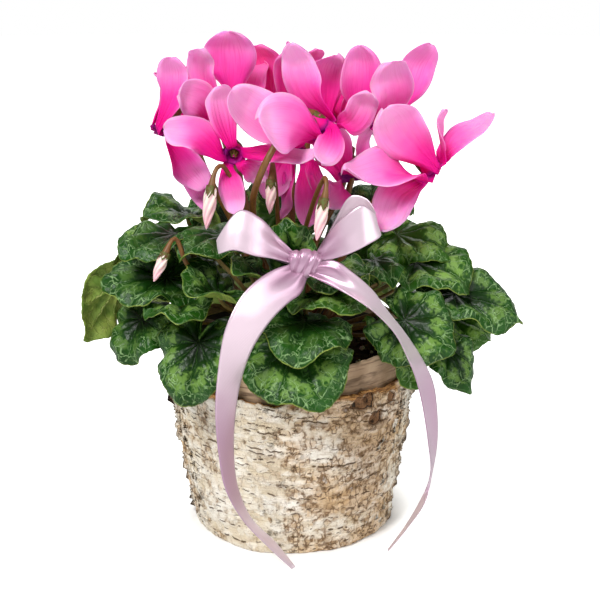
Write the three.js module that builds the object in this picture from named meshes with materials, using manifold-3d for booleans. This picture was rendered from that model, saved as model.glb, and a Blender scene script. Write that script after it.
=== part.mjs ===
// A potted cyclamen: a plant in a birch bark planter, with a satin ribbon tied in a bow.
// Millimetres, +Z up. The origin is the middle of the planter's foot, and the front faces -Y.
import * as THREE from "three";
import { mergeVertices } from "three/addons/utils/BufferGeometryUtils.js";
import Module from "manifold-3d";

const wasm = await Module();
wasm.setup();

// ---------------------------------------------------------------- driving dimensions
const GAP = 0.35; // what separate pieces keep between them
const WALL_GAP = 0.9; // and the planter's walls, between their corners

const PLANTER = {
  foot: 60, // outer radius at the foot
  rim: 75.3, // outer radius at the rim of the outer bark
  height: 102, // of the outer bark, less at its ragged low spots
  wall: 3.6,
  innerHeight: 119, // the inner bark stands proud of the outer one
  innerWall: 2.2,
  relief: 1.1, // depth of the bark's plates and furrows
};
const LINER = { wall: 1.6, floor: 2.4, height: 112 };
const SOIL = { level: 103, crown: 3 };
const TUBER = { radius: 31, top: 111, bottom: 90, dish: 26, socket: 5 };
const STALK = { leaf: 1.4, flower: 2.1, bud: 1.5 }; // radii
const BLADE = { leaf: 0.9, petal: 0.8, ribbon: 0.8 }; // thicknesses
const THROAT = { radius: 5.4, depth: 8.5, mouth: 3.4 }; // the short tube of a bloom
const KNOT = { width: 17, height: 14, depth: 9 }; // of the bow

const COLOUR = {
  bark: 0xc9b493,
  innerBark: 0x9a7f6c,
  liner: 0x2b2622,
  soil: 0x35261b,
  tuber: 0x5a4636,
  leaf: 0x2f5a2c,
  paleLeaf: 0x7f9a4a,
  stalk: 0x7a5230,
  petal: 0xf04fae,
  bud: 0xf6c3c4,
  ribbon: 0xd9b6cf,
  pick: 0x4f6b3a,
};

// ---------------------------------------------------------------- small helpers
let swell = 0; // how much fatter blades and stalks are built, to cut their room in others
const vec = (p) => new THREE.Vector3(p[0], p[1], p[2]);
const clamp01 = (t) => Math.min(1, Math.max(0, t));
const smooth = (t) => clamp01(t) ** 2 * (3 - 2 * clamp01(t));
const degrees = (a) => (a * Math.PI) / 180;

function material(colour, roughness = 0.6) {
  return new THREE.MeshStandardMaterial({
    color: colour,
    roughness,
    metalness: 0,
    side: THREE.DoubleSide,
  });
}

// A closed geometry as a solid that can be joined and cut.
function solid(geometry) {
  const bare = geometry.index ? geometry.toNonIndexed() : geometry.clone();
  bare.deleteAttribute("normal");
  bare.deleteAttribute("uv");
  const merged = mergeVertices(bare, 1e-4);
  return new wasm.Manifold(
    new wasm.Mesh({
      numProp: 3,
      vertProperties: new Float32Array(merged.attributes.position.array),
      triVerts: new Uint32Array(merged.index.array),
    }),
  );
}

// The solid's largest body as a named mesh: scraps that a cut leaves loose are dropped.
function mesh(name, made, look) {
  const bodies = made.decompose().sort((a, b) => b.volume() - a.volume());
  const data = bodies[0].getMesh();
  const geometry = new THREE.BufferGeometry();
  const places = new Float32Array(data.numVert * 3);
  for (let i = 0; i < data.numVert; i++) {
    const from = i * data.numProp;
    places.set(data.vertProperties.subarray(from, from + 3), i * 3);
  }
  geometry.setAttribute("position", new THREE.BufferAttribute(places, 3));
  geometry.setIndex(new THREE.BufferAttribute(data.triVerts, 1));
  geometry.computeVertexNormals();
  const made3 = new THREE.Mesh(geometry, look);
  made3.name = name;
  return made3;
}

// A thin closed solid about a middle surface: points, triangles over them, and the rim in order.
function blade(points, triangles, rim, thickness) {
  const normals = points.map(() => new THREE.Vector3());
  for (const [a, b, c] of triangles) {
    const edge = points[b].clone().sub(points[a]);
    const across = points[c].clone().sub(points[a]);
    const area = edge.cross(across);
    for (const i of [a, b, c]) normals[i].add(area);
  }
  const count = points.length;
  const middle = points.reduce((sum, p) => sum.add(p), new THREE.Vector3());
  middle.divideScalar(count);
  const edge = new Set(rim);
  const places = [];
  for (const side of [0.5, -0.5])
    points.forEach((p, i) => {
      const n = normals[i].clone().normalize();
      const at = p.clone().addScaledVector(n, side * (thickness + 2 * swell));
      if (edge.has(i)) at.addScaledVector(p.clone().sub(middle).normalize(), swell);
      places.push(...at.toArray());
    });
  const faces = [];
  for (const [a, b, c] of triangles) {
    faces.push(a, b, c);
    faces.push(c + count, b + count, a + count);
  }
  rim.forEach((a, i) => {
    const b = rim[(i + 1) % rim.length];
    faces.push(a, a + count, b);
    faces.push(b, a + count, b + count);
  });
  const geometry = new THREE.BufferGeometry();
  geometry.setAttribute(
    "position",
    new THREE.BufferAttribute(new Float32Array(places), 3),
  );
  geometry.setIndex(faces);
  return solid(geometry);
}

// The triangles and the rim of a grid with `rows` by `columns` points, row by row.
function grid(rows, columns) {
  const at = (r, c) => r * columns + c;
  const triangles = [];
  for (let r = 0; r + 1 < rows; r++)
    for (let c = 0; c + 1 < columns; c++) {
      triangles.push([at(r, c), at(r, c + 1), at(r + 1, c + 1)]);
      triangles.push([at(r, c), at(r + 1, c + 1), at(r + 1, c)]);
    }
  const rim = [];
  for (let c = 0; c < columns - 1; c++) rim.push(at(0, c));
  for (let r = 0; r < rows - 1; r++) rim.push(at(r, columns - 1));
  for (let c = columns - 1; c > 0; c--) rim.push(at(rows - 1, c));
  for (let r = rows - 1; r > 0; r--) rim.push(at(r, 0));
  return { triangles, rim };
}

// A stalk along points: its rings are [distance, radius], from the foot, or from the end if negative.
function stalk(points, sides, rings) {
  const path = new THREE.CatmullRomCurve3(points, false, "centripetal");
  const length = path.getLength();
  const places = [];
  const across = new THREE.Vector3(1, 0, 0);
  for (const [distance, radius] of rings) {
    const share = clamp01((distance < 0 ? length + distance : distance) / length);
    const along = path.getTangentAt(share);
    across.addScaledVector(along, -across.dot(along)).normalize();
    const other = along.clone().cross(across);
    const round = radius ? radius + swell : 0;
    for (let i = 0; i < (round ? sides : 1); i++) {
      const a = (i * 2 * Math.PI) / sides;
      const at = path.getPointAt(share).addScaledVector(across, round * Math.cos(a));
      places.push(...at.addScaledVector(other, round * Math.sin(a)).toArray());
    }
  }
  const faces = [];
  const pointed = !rings[rings.length - 1][1];
  const bands = rings.length - (pointed ? 2 : 1);
  for (let i = 0; i < sides; i++) {
    const j = (i + 1) % sides;
    for (let k = 0; k < bands; k++) {
      const [low, high] = [k * sides, (k + 1) * sides];
      faces.push(low + i, low + j, high + j, low + i, high + j, high + i);
    }
    const last = bands * sides;
    if (pointed) faces.push(last + i, last + j, last + sides);
    else if (i > 1) faces.push(last, last + i - 1, last + i);
    if (i > 1) faces.push(0, i, i - 1);
  }
  const geometry = new THREE.BufferGeometry();
  geometry.setAttribute(
    "position",
    new THREE.BufferAttribute(new Float32Array(places), 3),
  );
  geometry.setIndex(faces);
  return solid(geometry);
}

// Rings spaced evenly up a stalk whose length is about that of its points' chain.
function evenRings(points, radius, count, short) {
  let length = 0;
  for (let i = 1; i < points.length; i++) length += points[i].distanceTo(points[i - 1]);
  return Array.from({ length: count }, (_, i) => [
    ((length - short) * i) / (count - 1),
    radius,
  ]);
}

const joined = (solids) => solids.reduce((a, b) => a.add(b));

// A repeatable wobble from -1 to 1 that is even all round.
function wobble(angle, height, seed) {
  return (
    0.5 * Math.sin(3 * angle + seed + height * 0.05) +
    0.3 * Math.sin(7 * angle - 2 * seed - height * 0.11) +
    0.2 * Math.sin(13 * angle + 5 * seed + height * 0.23)
  );
}

// ---------------------------------------------------------------- planter
// A wall round the axis: outer and inner radius by angle and height, and a ragged top.
function barkWall({ turns, levels, outer, inner, bottom, top }) {
  const places = [];
  const angleOf = (i) => (i * 2 * Math.PI) / turns;
  const put = (r, a, z) => places.push(r * Math.cos(a), r * Math.sin(a), z);
  for (let k = 0; k <= levels; k++)
    for (let i = 0; i < turns; i++) {
      const a = angleOf(i);
      const z = bottom + ((top(a) - bottom) * k) / levels;
      put(outer(a, z), a, z);
    }
  const innerStart = turns * (levels + 1);
  for (const end of [0, 1])
    for (let i = 0; i < turns; i++) {
      const a = angleOf(i);
      const z = end ? top(a) - 0.6 : bottom;
      put(inner(z), a, z);
    }
  const faces = [];
  const band = (low, high) => {
    for (let i = 0; i < turns; i++) {
      const j = (i + 1) % turns;
      faces.push(low + i, low + j, high + j, low + i, high + j, high + i);
    }
  };
  for (let k = 0; k < levels; k++) band(k * turns, (k + 1) * turns);
  band(levels * turns, innerStart + turns); // the top edge
  band(innerStart + turns, innerStart); // the inside
  band(innerStart, 0); // the foot
  const geometry = new THREE.BufferGeometry();
  geometry.setAttribute(
    "position",
    new THREE.BufferAttribute(new Float32Array(places), 3),
  );
  geometry.setIndex(faces);
  return solid(geometry);
}

const taper = (PLANTER.rim - PLANTER.foot) / PLANTER.height;
const outerRadius = (z) => PLANTER.foot + taper * z;
const innerBarkRadius = (z) => outerRadius(z) - PLANTER.wall - WALL_GAP;
const linerRadius = (z) => innerBarkRadius(z) - PLANTER.innerWall - WALL_GAP;
const soilRadius = (z) => linerRadius(z) - LINER.wall - GAP;

function outerBark() {
  return barkWall({
    turns: 32,
    levels: 5,
    outer: (a, z) =>
      outerRadius(z) +
      (z > 1 ? PLANTER.relief * wobble(a, z, 1.7) : 0) -
      (z > 1 ? 0 : 0.8),
    inner: (z) => outerRadius(z) - PLANTER.wall,
    bottom: 0,
    top: (a) => PLANTER.height - 2.5 + 3 * wobble(a, 0, 4.1),
  });
}

function innerBark() {
  return barkWall({
    turns: 28,
    levels: 2,
    outer: (a, z) => innerBarkRadius(z),
    inner: (z) => innerBarkRadius(z) - PLANTER.innerWall,
    bottom: 0.6,
    top: (a) => PLANTER.innerHeight + 1.6 * wobble(a, 0, 2.6),
  });
}

function liner() {
  const profile = [
    [0, 0],
    [linerRadius(0) - 1, 0],
    [linerRadius(1.5), 1.5],
    [linerRadius(LINER.height), LINER.height],
    [linerRadius(LINER.height) - LINER.wall, LINER.height],
    [linerRadius(LINER.floor) - LINER.wall, LINER.floor],
    [0, LINER.floor],
  ].map(([r, z]) => new THREE.Vector2(r, z));
  return solid(new THREE.LatheGeometry(profile, 24).rotateX(Math.PI / 2));
}

function soil(tuberSolid) {
  const low = LINER.floor + GAP;
  const profile = [
    [0, low],
    [soilRadius(low), low],
    [soilRadius(SOIL.level - 2), SOIL.level - 2],
    [soilRadius(SOIL.level) * 0.8, SOIL.level - 0.6],
    [TUBER.radius * 1.6, SOIL.level + SOIL.crown * 0.6],
    [0, SOIL.level + SOIL.crown],
  ].map(([r, z]) => new THREE.Vector2(r, z));
  return solid(
    new THREE.LatheGeometry(profile, 24).rotateX(Math.PI / 2),
  ).subtract(tuberSolid);
}

// The flattened tuber with a dished crown that the stalks stand in; grown by `more` for its bed.
function tuber(more) {
  const { radius, top, bottom, dish } = TUBER;
  const middle = (top + bottom) / 2;
  const profile = [
    [0, bottom - more],
    [radius * 0.62, bottom - more + 1],
    [radius + more, middle - 3],
    [radius + more, middle + 3],
    [dish + 1.6, top + more],
    [more ? 0 : dish, top + more],
    [more ? 0 : dish - 1, top - TUBER.socket],
    [0, top - TUBER.socket],
  ];
  const outline = more ? profile.slice(0, 6) : profile;
  const lathe = new THREE.LatheGeometry(
    outline.map(([r, z]) => new THREE.Vector2(r, z)),
    14,
  );
  return solid(lathe.rotateX(Math.PI / 2));
}

// ---------------------------------------------------------------- leaves
// The heart-shaped outline: reach from the stalk's end, by angle from the tip, as a share of length.
function leafReach(angle, seed) {
  const a = Math.abs(angle);
  const round = 0.79 + 0.21 * Math.cos(a) ** 2 * (a < Math.PI / 2 ? 1 : -0.25);
  const notch = smooth((Math.PI - a) / 0.42);
  const tip = 0.1 * Math.exp(-((a / 0.22) ** 2));
  const scallop = 0.018 * Math.sin(11 * angle + seed) + 0.022 * Math.sin(5 * angle + 2 * seed);
  return (round + tip + scallop) * (0.12 + 0.88 * notch);
}

// A leaf's middle surface at `share` of the way out along `angle`, in the leaf's own axes.
function leafPoint(leaf, share, angle) {
  const reach = share * leafReach(angle, leaf.seed) * leaf.length;
  const u = reach * Math.cos(angle);
  const v = reach * Math.sin(angle) * leaf.broad;
  const crease = leaf.fold * Math.abs(v) * Math.exp(-Math.abs(v) / leaf.length);
  const waves =
    Math.sin(leaf.waves * angle + leaf.seed) +
    0.5 * Math.sin((leaf.waves + 3) * angle + 2 * leaf.seed);
  const rise =
    crease +
    leaf.wave * share ** 2 * waves +
    leaf.lip * leaf.length * smooth((share - 0.6) / 0.4);
  let across = v;
  let up = rise;
  if (Math.abs(leaf.cup) > 0.01) {
    const turn = (leaf.cup * v) / leaf.length;
    across = (leaf.length * Math.sin(turn)) / leaf.cup - rise * Math.sin(turn);
    up = (leaf.length * (1 - Math.cos(turn))) / leaf.cup + rise * Math.cos(turn);
  }
  let along = u;
  if (Math.abs(leaf.droop) > 0.01) {
    const turn = (leaf.droop * u) / leaf.length;
    const centre = leaf.length / leaf.droop;
    along = centre * Math.sin(turn) + up * Math.sin(turn);
    up = up * Math.cos(turn) - centre * (1 - Math.cos(turn));
  }
  return new THREE.Vector3(along, across, up);
}

// The leaf's own axes from its stalk's end, tip and facing: x to the tip, z out of the upper face.
function leafAxes(leaf) {
  const chord = vec(leaf.tip).sub(vec(leaf.at));
  const reach = chord.length();
  chord.normalize();
  const facing = vec(leaf.face);
  facing.addScaledVector(chord, -facing.dot(chord)).normalize();
  const half = leaf.droop / 2;
  const x = chord
    .clone()
    .multiplyScalar(Math.cos(half))
    .addScaledVector(facing, Math.sin(half));
  const z = facing
    .clone()
    .multiplyScalar(Math.cos(half))
    .addScaledVector(chord, -Math.sin(half));
  const y = z.clone().cross(x);
  const shorten = Math.abs(half) > 0.01 ? Math.sin(half) / half : 1;
  return { x, y, z, length: reach / shorten / 1.08 };
}

// A place on the tuber's crown, from its distance out and its compass angle, at a height.
function crown([radius, turn], z) {
  const a = degrees(turn);
  return new THREE.Vector3(radius * Math.cos(a), radius * Math.sin(a), z);
}
const standing = TUBER.top - TUBER.socket + GAP; // the height of every stalk's foot

function leafShape(row) {
  const leaf = {
    broad: 1,
    droop: 0.5,
    cup: -0.3,
    fold: 0.12,
    wave: 2.8,
    waves: 5,
    lip: 0,
    seed: row.tip[0] + row.tip[2],
    ...row,
  };
  const axes = leafAxes(leaf);
  leaf.length = axes.length;
  return { leaf, axes };
}

function leafSolid(row) {
  const { leaf, axes } = leafShape(row);
  const origin = vec(leaf.at);
  const place = (p) =>
    origin
      .clone()
      .addScaledVector(axes.x, p.x)
      .addScaledVector(axes.y, p.y)
      .addScaledVector(axes.z, p.z);
  const spokes = 18;
  const inner = spokes / 2;
  const points = [place(leafPoint(leaf, 0, 0))];
  for (let i = 0; i < inner; i++)
    points.push(place(leafPoint(leaf, 0.55, -Math.PI + (i * 2 * Math.PI) / inner)));
  for (let i = 0; i < spokes; i++)
    points.push(place(leafPoint(leaf, 1, -Math.PI + (i * 2 * Math.PI) / spokes)));
  const triangles = [];
  const near = (i) => 1 + (i % inner);
  const far = (i) => 1 + inner + (i % spokes);
  for (let i = 0; i < inner; i++) {
    triangles.push([0, near(i), near(i + 1)]);
    triangles.push([near(i), far(2 * i), far(2 * i + 1)]);
    triangles.push([near(i), far(2 * i + 1), near(i + 1)]);
    triangles.push([near(i + 1), far(2 * i + 1), far(2 * i + 2)]);
  }
  const rim = Array.from({ length: spokes }, (_, i) => far(i));
  const surface = blade(points, triangles, rim, BLADE.leaf);

  // The stalk rises from the tuber and comes in under the blade, along its length.
  const foot = crown(leaf.root, standing);
  const start = crown(leaf.root, TUBER.top + 3);
  const rib = points[inner / 2 + 0.5].clone().lerp(points[inner / 2 + 1.5], 0.5);
  const end = origin.clone().lerp(rib, 0.2);
  const reach = end.distanceTo(start);
  const arrive = end
    .clone()
    .addScaledVector(axes.x, -0.16 * reach)
    .addScaledVector(axes.z, -0.12 * reach);
  const path = [foot, start];
  for (const point of leaf.bends ?? []) path.push(vec(point));
  if (!leaf.bends) {
    const rise = start.clone().lerp(arrive, 0.4);
    rise.z += 0.06 * reach;
    path.push(rise);
  }
  path.push(arrive, end);
  const rings = evenRings(path, STALK.leaf, 5, 6);
  return surface.add(stalk(path, 4, [...rings, [-2.5, STALK.leaf * 0.8], [-0.001, 0]]));
}

// Each leaf: where its stalk meets the blade, its tip, the way its upper face looks, and its bends.
// droop bends it along its length, cup lifts its sides, lip turns up its rim, fold creases the rib.
// Its stalk's root is a distance and an angle on the tuber's crown.
const LEAVES = [
  {
    name: "leaf_front_low", at: [0, -67, 128], tip: [18, -93, 105], face: [0, -0.7, 0.7],
    broad: 1.05, droop: 0.35, cup: -0.35, root: [22.6, 277],
  },
  {
    name: "leaf_front_mid", node: "leaves_front", at: [8, -61, 141], tip: [-1, -93, 131],
    face: [0.1, -0.5, 0.9], droop: 0.5, cup: 0.2, wave: 3, bends: [[8, -30, 138], [8, -44, 146]],
    root: [19, 290],
  },
  {
    name: "leaf_front_upper", node: "leaves_front", at: [18, -48, 154], tip: [33, -78, 153],
    face: [0, -0.5, 0.9], cup: 0.4, root: [19, 290],
  },
  {
    name: "leaf_under_knot", at: [16, -40, 163], tip: [32, -70, 164], face: [0, -0.3, 0.95],
    broad: 0.85, cup: 0.1, root: [15.5, 290],
  },
  {
    name: "leaf_cup_left", at: [-38, -60, 156], tip: [-51, -84, 169], face: [0.3, -0.2, 0.9],
    cup: 1.1, droop: -0.6, root: [22.6, 262],
  },
  {
    name: "leaf_cup_middle", at: [-16, -56, 164], tip: [-29, -76, 178], face: [0.3, -0.3, 0.9],
    broad: 0.75, cup: 0.8, droop: -0.3, bends: [[-8, -24, 140], [-12, -36, 155]],
    root: [15.5, 258],
  },
  {
    name: "leaf_left_shelf", node: "leaves_left_front", at: [-60, -46, 146], tip: [-58, -80, 149],
    face: [-0.1, -0.3, 0.95], cup: 0.3, droop: 0.3, broad: 0.85, root: [20, 243],
  },
  {
    name: "leaf_left_front", node: "leaves_left_front", at: [-50, -63, 130], tip: [-57, -78, 99],
    face: [-0.3, -0.8, 0.4], broad: 0.95, cup: -0.4, root: [20, 243],
  },
  {
    name: "leaf_left_low", at: [-85, -34, 134], tip: [-95, -47, 112], face: [-0.5, -0.7, 0.4],
    root: [22.6, 215],
  },
  {
    name: "leaf_left_edge", at: [-70, -36, 159], tip: [-104, -44, 156], face: [-0.2, -0.6, 0.8],
    broad: 0.85, droop: 0.3, cup: 0.5, root: [19, 210],
  },
  {
    name: "leaf_left_hanging", node: "leaves_left_back", at: [-101, -12, 148],
    tip: [-118, -24, 119], face: [-0.5, 0.75, 0.3], broad: 0.72, droop: 0.4, cup: 0.4,
    root: [19, 176],
  },
  {
    name: "leaf_left_mid", at: [-65, -28, 182], tip: [-92, -52, 176], face: [-0.3, -0.4, 0.85],
    broad: 0.78, cup: 0.1, droop: 0.5, root: [15.5, 205],
  },
  {
    name: "leaf_left_silver", node: "leaves_bow", at: [-36, -40, 184], tip: [-60, -64, 179],
    face: [-0.3, -0.5, 0.8], broad: 0.75, root: [15.5, 240],
  },
  {
    name: "leaf_left_top", node: "leaves_left_top", at: [-60, 8, 184], tip: [-85, -10, 186],
    face: [-0.4, -0.4, 0.8], wave: 4, cup: 0.7, droop: 0.7, root: [15.5, 150],
  },
  {
    name: "leaf_right_big", node: "leaves_right_big", at: [61, -62, 142], tip: [86, -73, 129],
    face: [0.1, -0.85, 0.5], broad: 1.1, droop: 0.5, cup: -0.5, root: [22.6, 300],
  },
  {
    name: "leaf_right_under", node: "leaves_right_big", at: [56, -45, 127], tip: [67, -60, 103],
    face: [0.7, -0.6, 0.3], broad: 0.6, root: [22.6, 300],
  },
  {
    name: "leaf_right_far", at: [92, -28, 147], tip: [132, -32, 134], face: [0.15, -0.5, 0.85],
    broad: 0.68, cup: 0.6, root: [19, 340],
  },
  {
    name: "leaf_right_low", node: "leaves_right_low", at: [92, -12, 129], tip: [118, -14, 117],
    face: [0.4, -0.5, 0.7], root: [22.6, 335],
  },
  {
    name: "leaf_right_small", node: "leaves_right_low", at: [86, -42, 121], tip: [99, -50, 97],
    face: [0.5, -0.8, 0.3], broad: 0.75, bends: [[44, -18, 124], [66, -30, 130]],
    root: [22.6, 335],
  },
  {
    name: "leaf_right_mid", at: [70, -22, 164], tip: [102, -36, 154], face: [0.35, -0.5, 0.8],
    broad: 0.9, cup: 0.5, droop: 0.7, root: [19, 322],
  },
  {
    name: "leaf_right_silver", at: [60, -14, 178], tip: [92, -24, 170], face: [-0.1, -0.5, 0.85],
    broad: 0.7, cup: -0.6, droop: 0.8, wave: 3.4, root: [15.5, 330],
  },
  {
    name: "leaf_right_top", node: "leaves_right_top", at: [46, 20, 186], tip: [74, 18, 189],
    face: [0.1, -0.4, 0.9], cup: 0.5, bends: [[22, 17, 150], [35, 25, 176]], root: [15.5, 33],
  },
  {
    name: "leaf_bow_right", at: [46, -36, 169], tip: [56, -56, 163], face: [0.1, -0.5, 0.85],
    broad: 0.75, bends: [[20, -10, 140], [34, -16, 160]], root: [15.5, 308],
  },
  {
    name: "leaf_bow_middle", node: "leaves_bow", at: [0, -38, 170], tip: [-3, -48, 194],
    face: [0, -0.9, 0.3], broad: 0.75, root: [15.5, 240],
  },
  {
    name: "leaf_back_low_a", at: [62, 44, 130], tip: [84, 62, 106], face: [0.5, 0.5, 0.6],
    root: [22.6, 30],
  },
  {
    name: "leaf_back_low_b", node: "leaves_back_low", at: [24, 70, 130], tip: [34, 98, 108],
    face: [0.1, 0.7, 0.6], broad: 0.95, root: [22.6, 90],
  },
  {
    name: "leaf_back_low_c", node: "leaves_back_low", at: [-36, 66, 131], tip: [-50, 90, 108],
    face: [-0.3, 0.7, 0.6], broad: 0.95, root: [22.6, 90],
  },
  {
    name: "leaf_back_low_d", node: "leaves_back_left", at: [-72, 34, 131], tip: [-98, 48, 110],
    face: [-0.6, 0.4, 0.6], root: [20, 142],
  },
  {
    name: "leaf_back_mid_a", node: "leaves_back_right", at: [70, 16, 159], tip: [108, 26, 155],
    face: [0.3, 0.1, 0.9], root: [19, 25],
  },
  {
    name: "leaf_back_mid_b", node: "leaves_back_right", at: [41, 43, 152], tip: [58, 56, 174],
    face: [0.2, -0.6, 0.7], bends: [[24, 20, 132], [34, 35, 143]], root: [19, 25],
  },
  {
    name: "leaf_back_mid_c", at: [-4, 64, 157], tip: [-8, 104, 150], face: [0, 0.4, 0.9],
    root: [19, 90],
  },
  {
    name: "leaf_back_mid_d", node: "leaves_back_left", at: [-48, 46, 148], tip: [-80, 70, 142],
    face: [-0.3, 0.4, 0.9], root: [20, 142],
  },
  {
    name: "leaf_back_mid_e", node: "leaves_left_back", at: [-70, 26, 165], tip: [-108, 42, 167],
    face: [-0.3, 0.2, 0.9], broad: 0.85, root: [19, 176],
  },
  {
    name: "leaf_back_top_a", node: "leaves_right_top", at: [24, 46, 174], tip: [40, 76, 174],
    face: [0.2, 0.3, 0.9], root: [15.5, 33],
  },
  {
    name: "leaf_back_top_b", at: [-10, 47, 177], tip: [-16, 64, 202], face: [0, -0.7, 0.7],
    broad: 0.85, root: [15.5, 95],
  },
  {
    name: "leaf_back_top_c", node: "leaves_left_top", at: [-38, 44, 170], tip: [-58, 62, 189],
    face: [-0.2, -0.4, 0.9], root: [15.5, 150],
  },
];

// ---------------------------------------------------------------- blooms
const ring = (radius, z) => new THREE.Vector2(radius, z);

// A lathed piece with its axis turned to `axis` and its origin moved to `origin`.
function turned(profile, sides, axis, origin) {
  const middle = (profile[0].y + profile[profile.length - 1].y) / 2;
  const outline = profile.map((p) =>
    ring(p.x > 0 ? p.x + swell : 0, p.y + 0.8 * swell * Math.sign(p.y - middle)),
  );
  const lathe = new THREE.LatheGeometry(outline, sides).rotateX(Math.PI / 2);
  const turn = new THREE.Quaternion().setFromUnitVectors(
    new THREE.Vector3(0, 0, 1),
    axis,
  );
  return solid(lathe.applyQuaternion(turn).translate(...origin.toArray()));
}

// Which fifth of the throat each petal springs from: the turn that suits all five tips best.
function petalPlaces(bloom, axis) {
  const throat = vec(bloom.throat);
  const side = new THREE.Vector3(0, 0, 1).cross(axis);
  if (side.length() < 0.1) side.set(1, 0, 0);
  side.normalize();
  const other = axis.clone().cross(side);
  const turns = bloom.petals.map((petal) => {
    const way = vec(petal.mid).sub(throat);
    return Math.atan2(way.dot(other), way.dot(side));
  });
  const order = turns.map((_, i) => i).sort((a, b) => turns[a] - turns[b]);
  const fifth = (2 * Math.PI) / turns.length;
  const start =
    order.reduce((sum, petal, i) => sum + turns[petal] - i * fifth, 0) /
    turns.length;
  const places = [];
  order.forEach((petal, i) => {
    const a = start + i * fifth;
    places[petal] = side
      .clone()
      .multiplyScalar(Math.cos(a))
      .addScaledVector(other, Math.sin(a));
  });
  return places;
}

// How wide a petal is along its length, as a share of its width: a narrow claw, then a broad limb.
function petalWidth(s, peak, claw) {
  if (s < peak) return claw + (1 - claw) * smooth((s - 0.06) / (peak - 0.06));
  return Math.sqrt(Math.max(0.02, 1 - ((s - peak) / (1.04 - peak)) ** 2));
}

// A petal's points are two rows of two up its claw and then three rows of four over its limb.
const PETAL = {
  triangles: [
    ...[[0, 1, 3], [0, 3, 2], [2, 5, 4], [2, 3, 5], [3, 6, 5], [3, 7, 6]],
    ...[4, 5, 6, 8, 9, 10].flatMap((i) => [[i, i + 1, i + 5], [i, i + 5, i + 4]]),
  ],
  rim: [0, 1, 3, 7, 11, 15, 14, 13, 12, 8, 4, 2],
};

// A petal's middle surface along its spine: out of the mouth, back over its edge, and on to the tip.
function petalSolid(bloom, axis, petal, radial) {
  const throat = vec(bloom.throat);
  const root = throat
    .clone()
    .addScaledVector(radial, THROAT.radius - 1.2)
    .addScaledVector(axis, -1);
  const knee = throat
    .clone()
    .addScaledVector(radial, THROAT.radius + 1)
    .addScaledVector(axis, 2.6);
  const spine = new THREE.CatmullRomCurve3(
    [root, knee, vec(petal.mid), vec(petal.tip)],
    false,
    "centripetal",
  );
  const from = axis.clone().cross(radial);
  const to = spine.getTangent(1).cross(vec(petal.face)).normalize();
  const flip = from.dot(to) < 0 ? -1 : 1;
  to.multiplyScalar(flip);
  const peak = petal.peak ?? 0.62;
  const claw = 3.2 / petal.width;
  const rows = [0, 0.13, 0.36, 0.66, 1];
  const points = [];
  for (const s of rows)
    for (const v of s < 0.2 ? [-1, 1] : [-1, -1 / 3, 1 / 3, 1]) {
      const at = s === 1 ? 1 - 0.13 * v * v : s;
      const along = spine.getTangentAt(at);
      const sideways = from.clone().lerp(to, smooth(at * 1.4));
      sideways.addScaledVector(along, -sideways.dot(along)).normalize();
      const normal = along.clone().cross(sideways);
      const half = 0.5 * petal.width * petalWidth(at, peak, claw);
      const lift = -flip * (petal.cup ?? 0.3) * half * v * v * smooth(at * 2);
      points.push(
        spine
          .getPointAt(at)
          .addScaledVector(sideways, v * half)
          .addScaledVector(normal, lift),
      );
    }
  return blade(points, PETAL.triangles, PETAL.rim, BLADE.petal);
}

function bloomSolid(bloom) {
  const axis = vec(bloom.axis).normalize();
  const places = petalPlaces(bloom, axis);
  const parts = bloom.petals.map((petal, i) =>
    petalSolid(bloom, axis, petal, places[i]),
  );
  const tube = turned(
    [
      ring(0, -THROAT.depth),
      ring(THROAT.radius * 0.75, -THROAT.depth),
      ring(THROAT.radius, -THROAT.depth * 0.5),
      ring(THROAT.radius, 0),
      ring(THROAT.mouth, 0),
      ring(0, -THROAT.depth * 0.6),
    ],
    8,
    axis,
    vec(bloom.throat),
  );
  return joined([tube, ...parts]);
}

// The bend at a stalk's top: from its last two points round to an end that it enters along `way`.
function hook(points, end, way, least) {
  const last = points.at(-1);
  const reach = Math.max(least, 0.75 * last.distanceTo(end));
  const rising = last.clone().sub(points.at(-2)).setLength(reach).add(last);
  const falling = end.clone().addScaledVector(way, -reach);
  const bend = new THREE.CubicBezierCurve3(last, rising, falling, end);
  return [0.28, 0.55, 0.8].map((t) => bend.getPoint(t));
}

// The flower's stalk, hooked over into the back of its bloom, with the calyx behind the tube.
function flowerStalk(bloom) {
  const axis = vec(bloom.axis).normalize();
  const back = vec(bloom.throat).addScaledVector(axis, -THROAT.depth - GAP);
  const foot = crown(bloom.root, standing);
  const start = crown(bloom.root, TUBER.top + 4);
  const path = [foot, start, ...bloom.stalk.map(vec)];
  path.push(...hook(path, back, axis, 7), back);
  const top = [-16, -12, -8].map((distance) => [distance, STALK.flower]);
  const rings = [...evenRings(path, STALK.flower, 5, 20), ...top];
  return stalk(path, 6, [...rings, [-4.5, 2.4], [-1, 4.6], [-0.001, 4]]);
}

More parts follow.
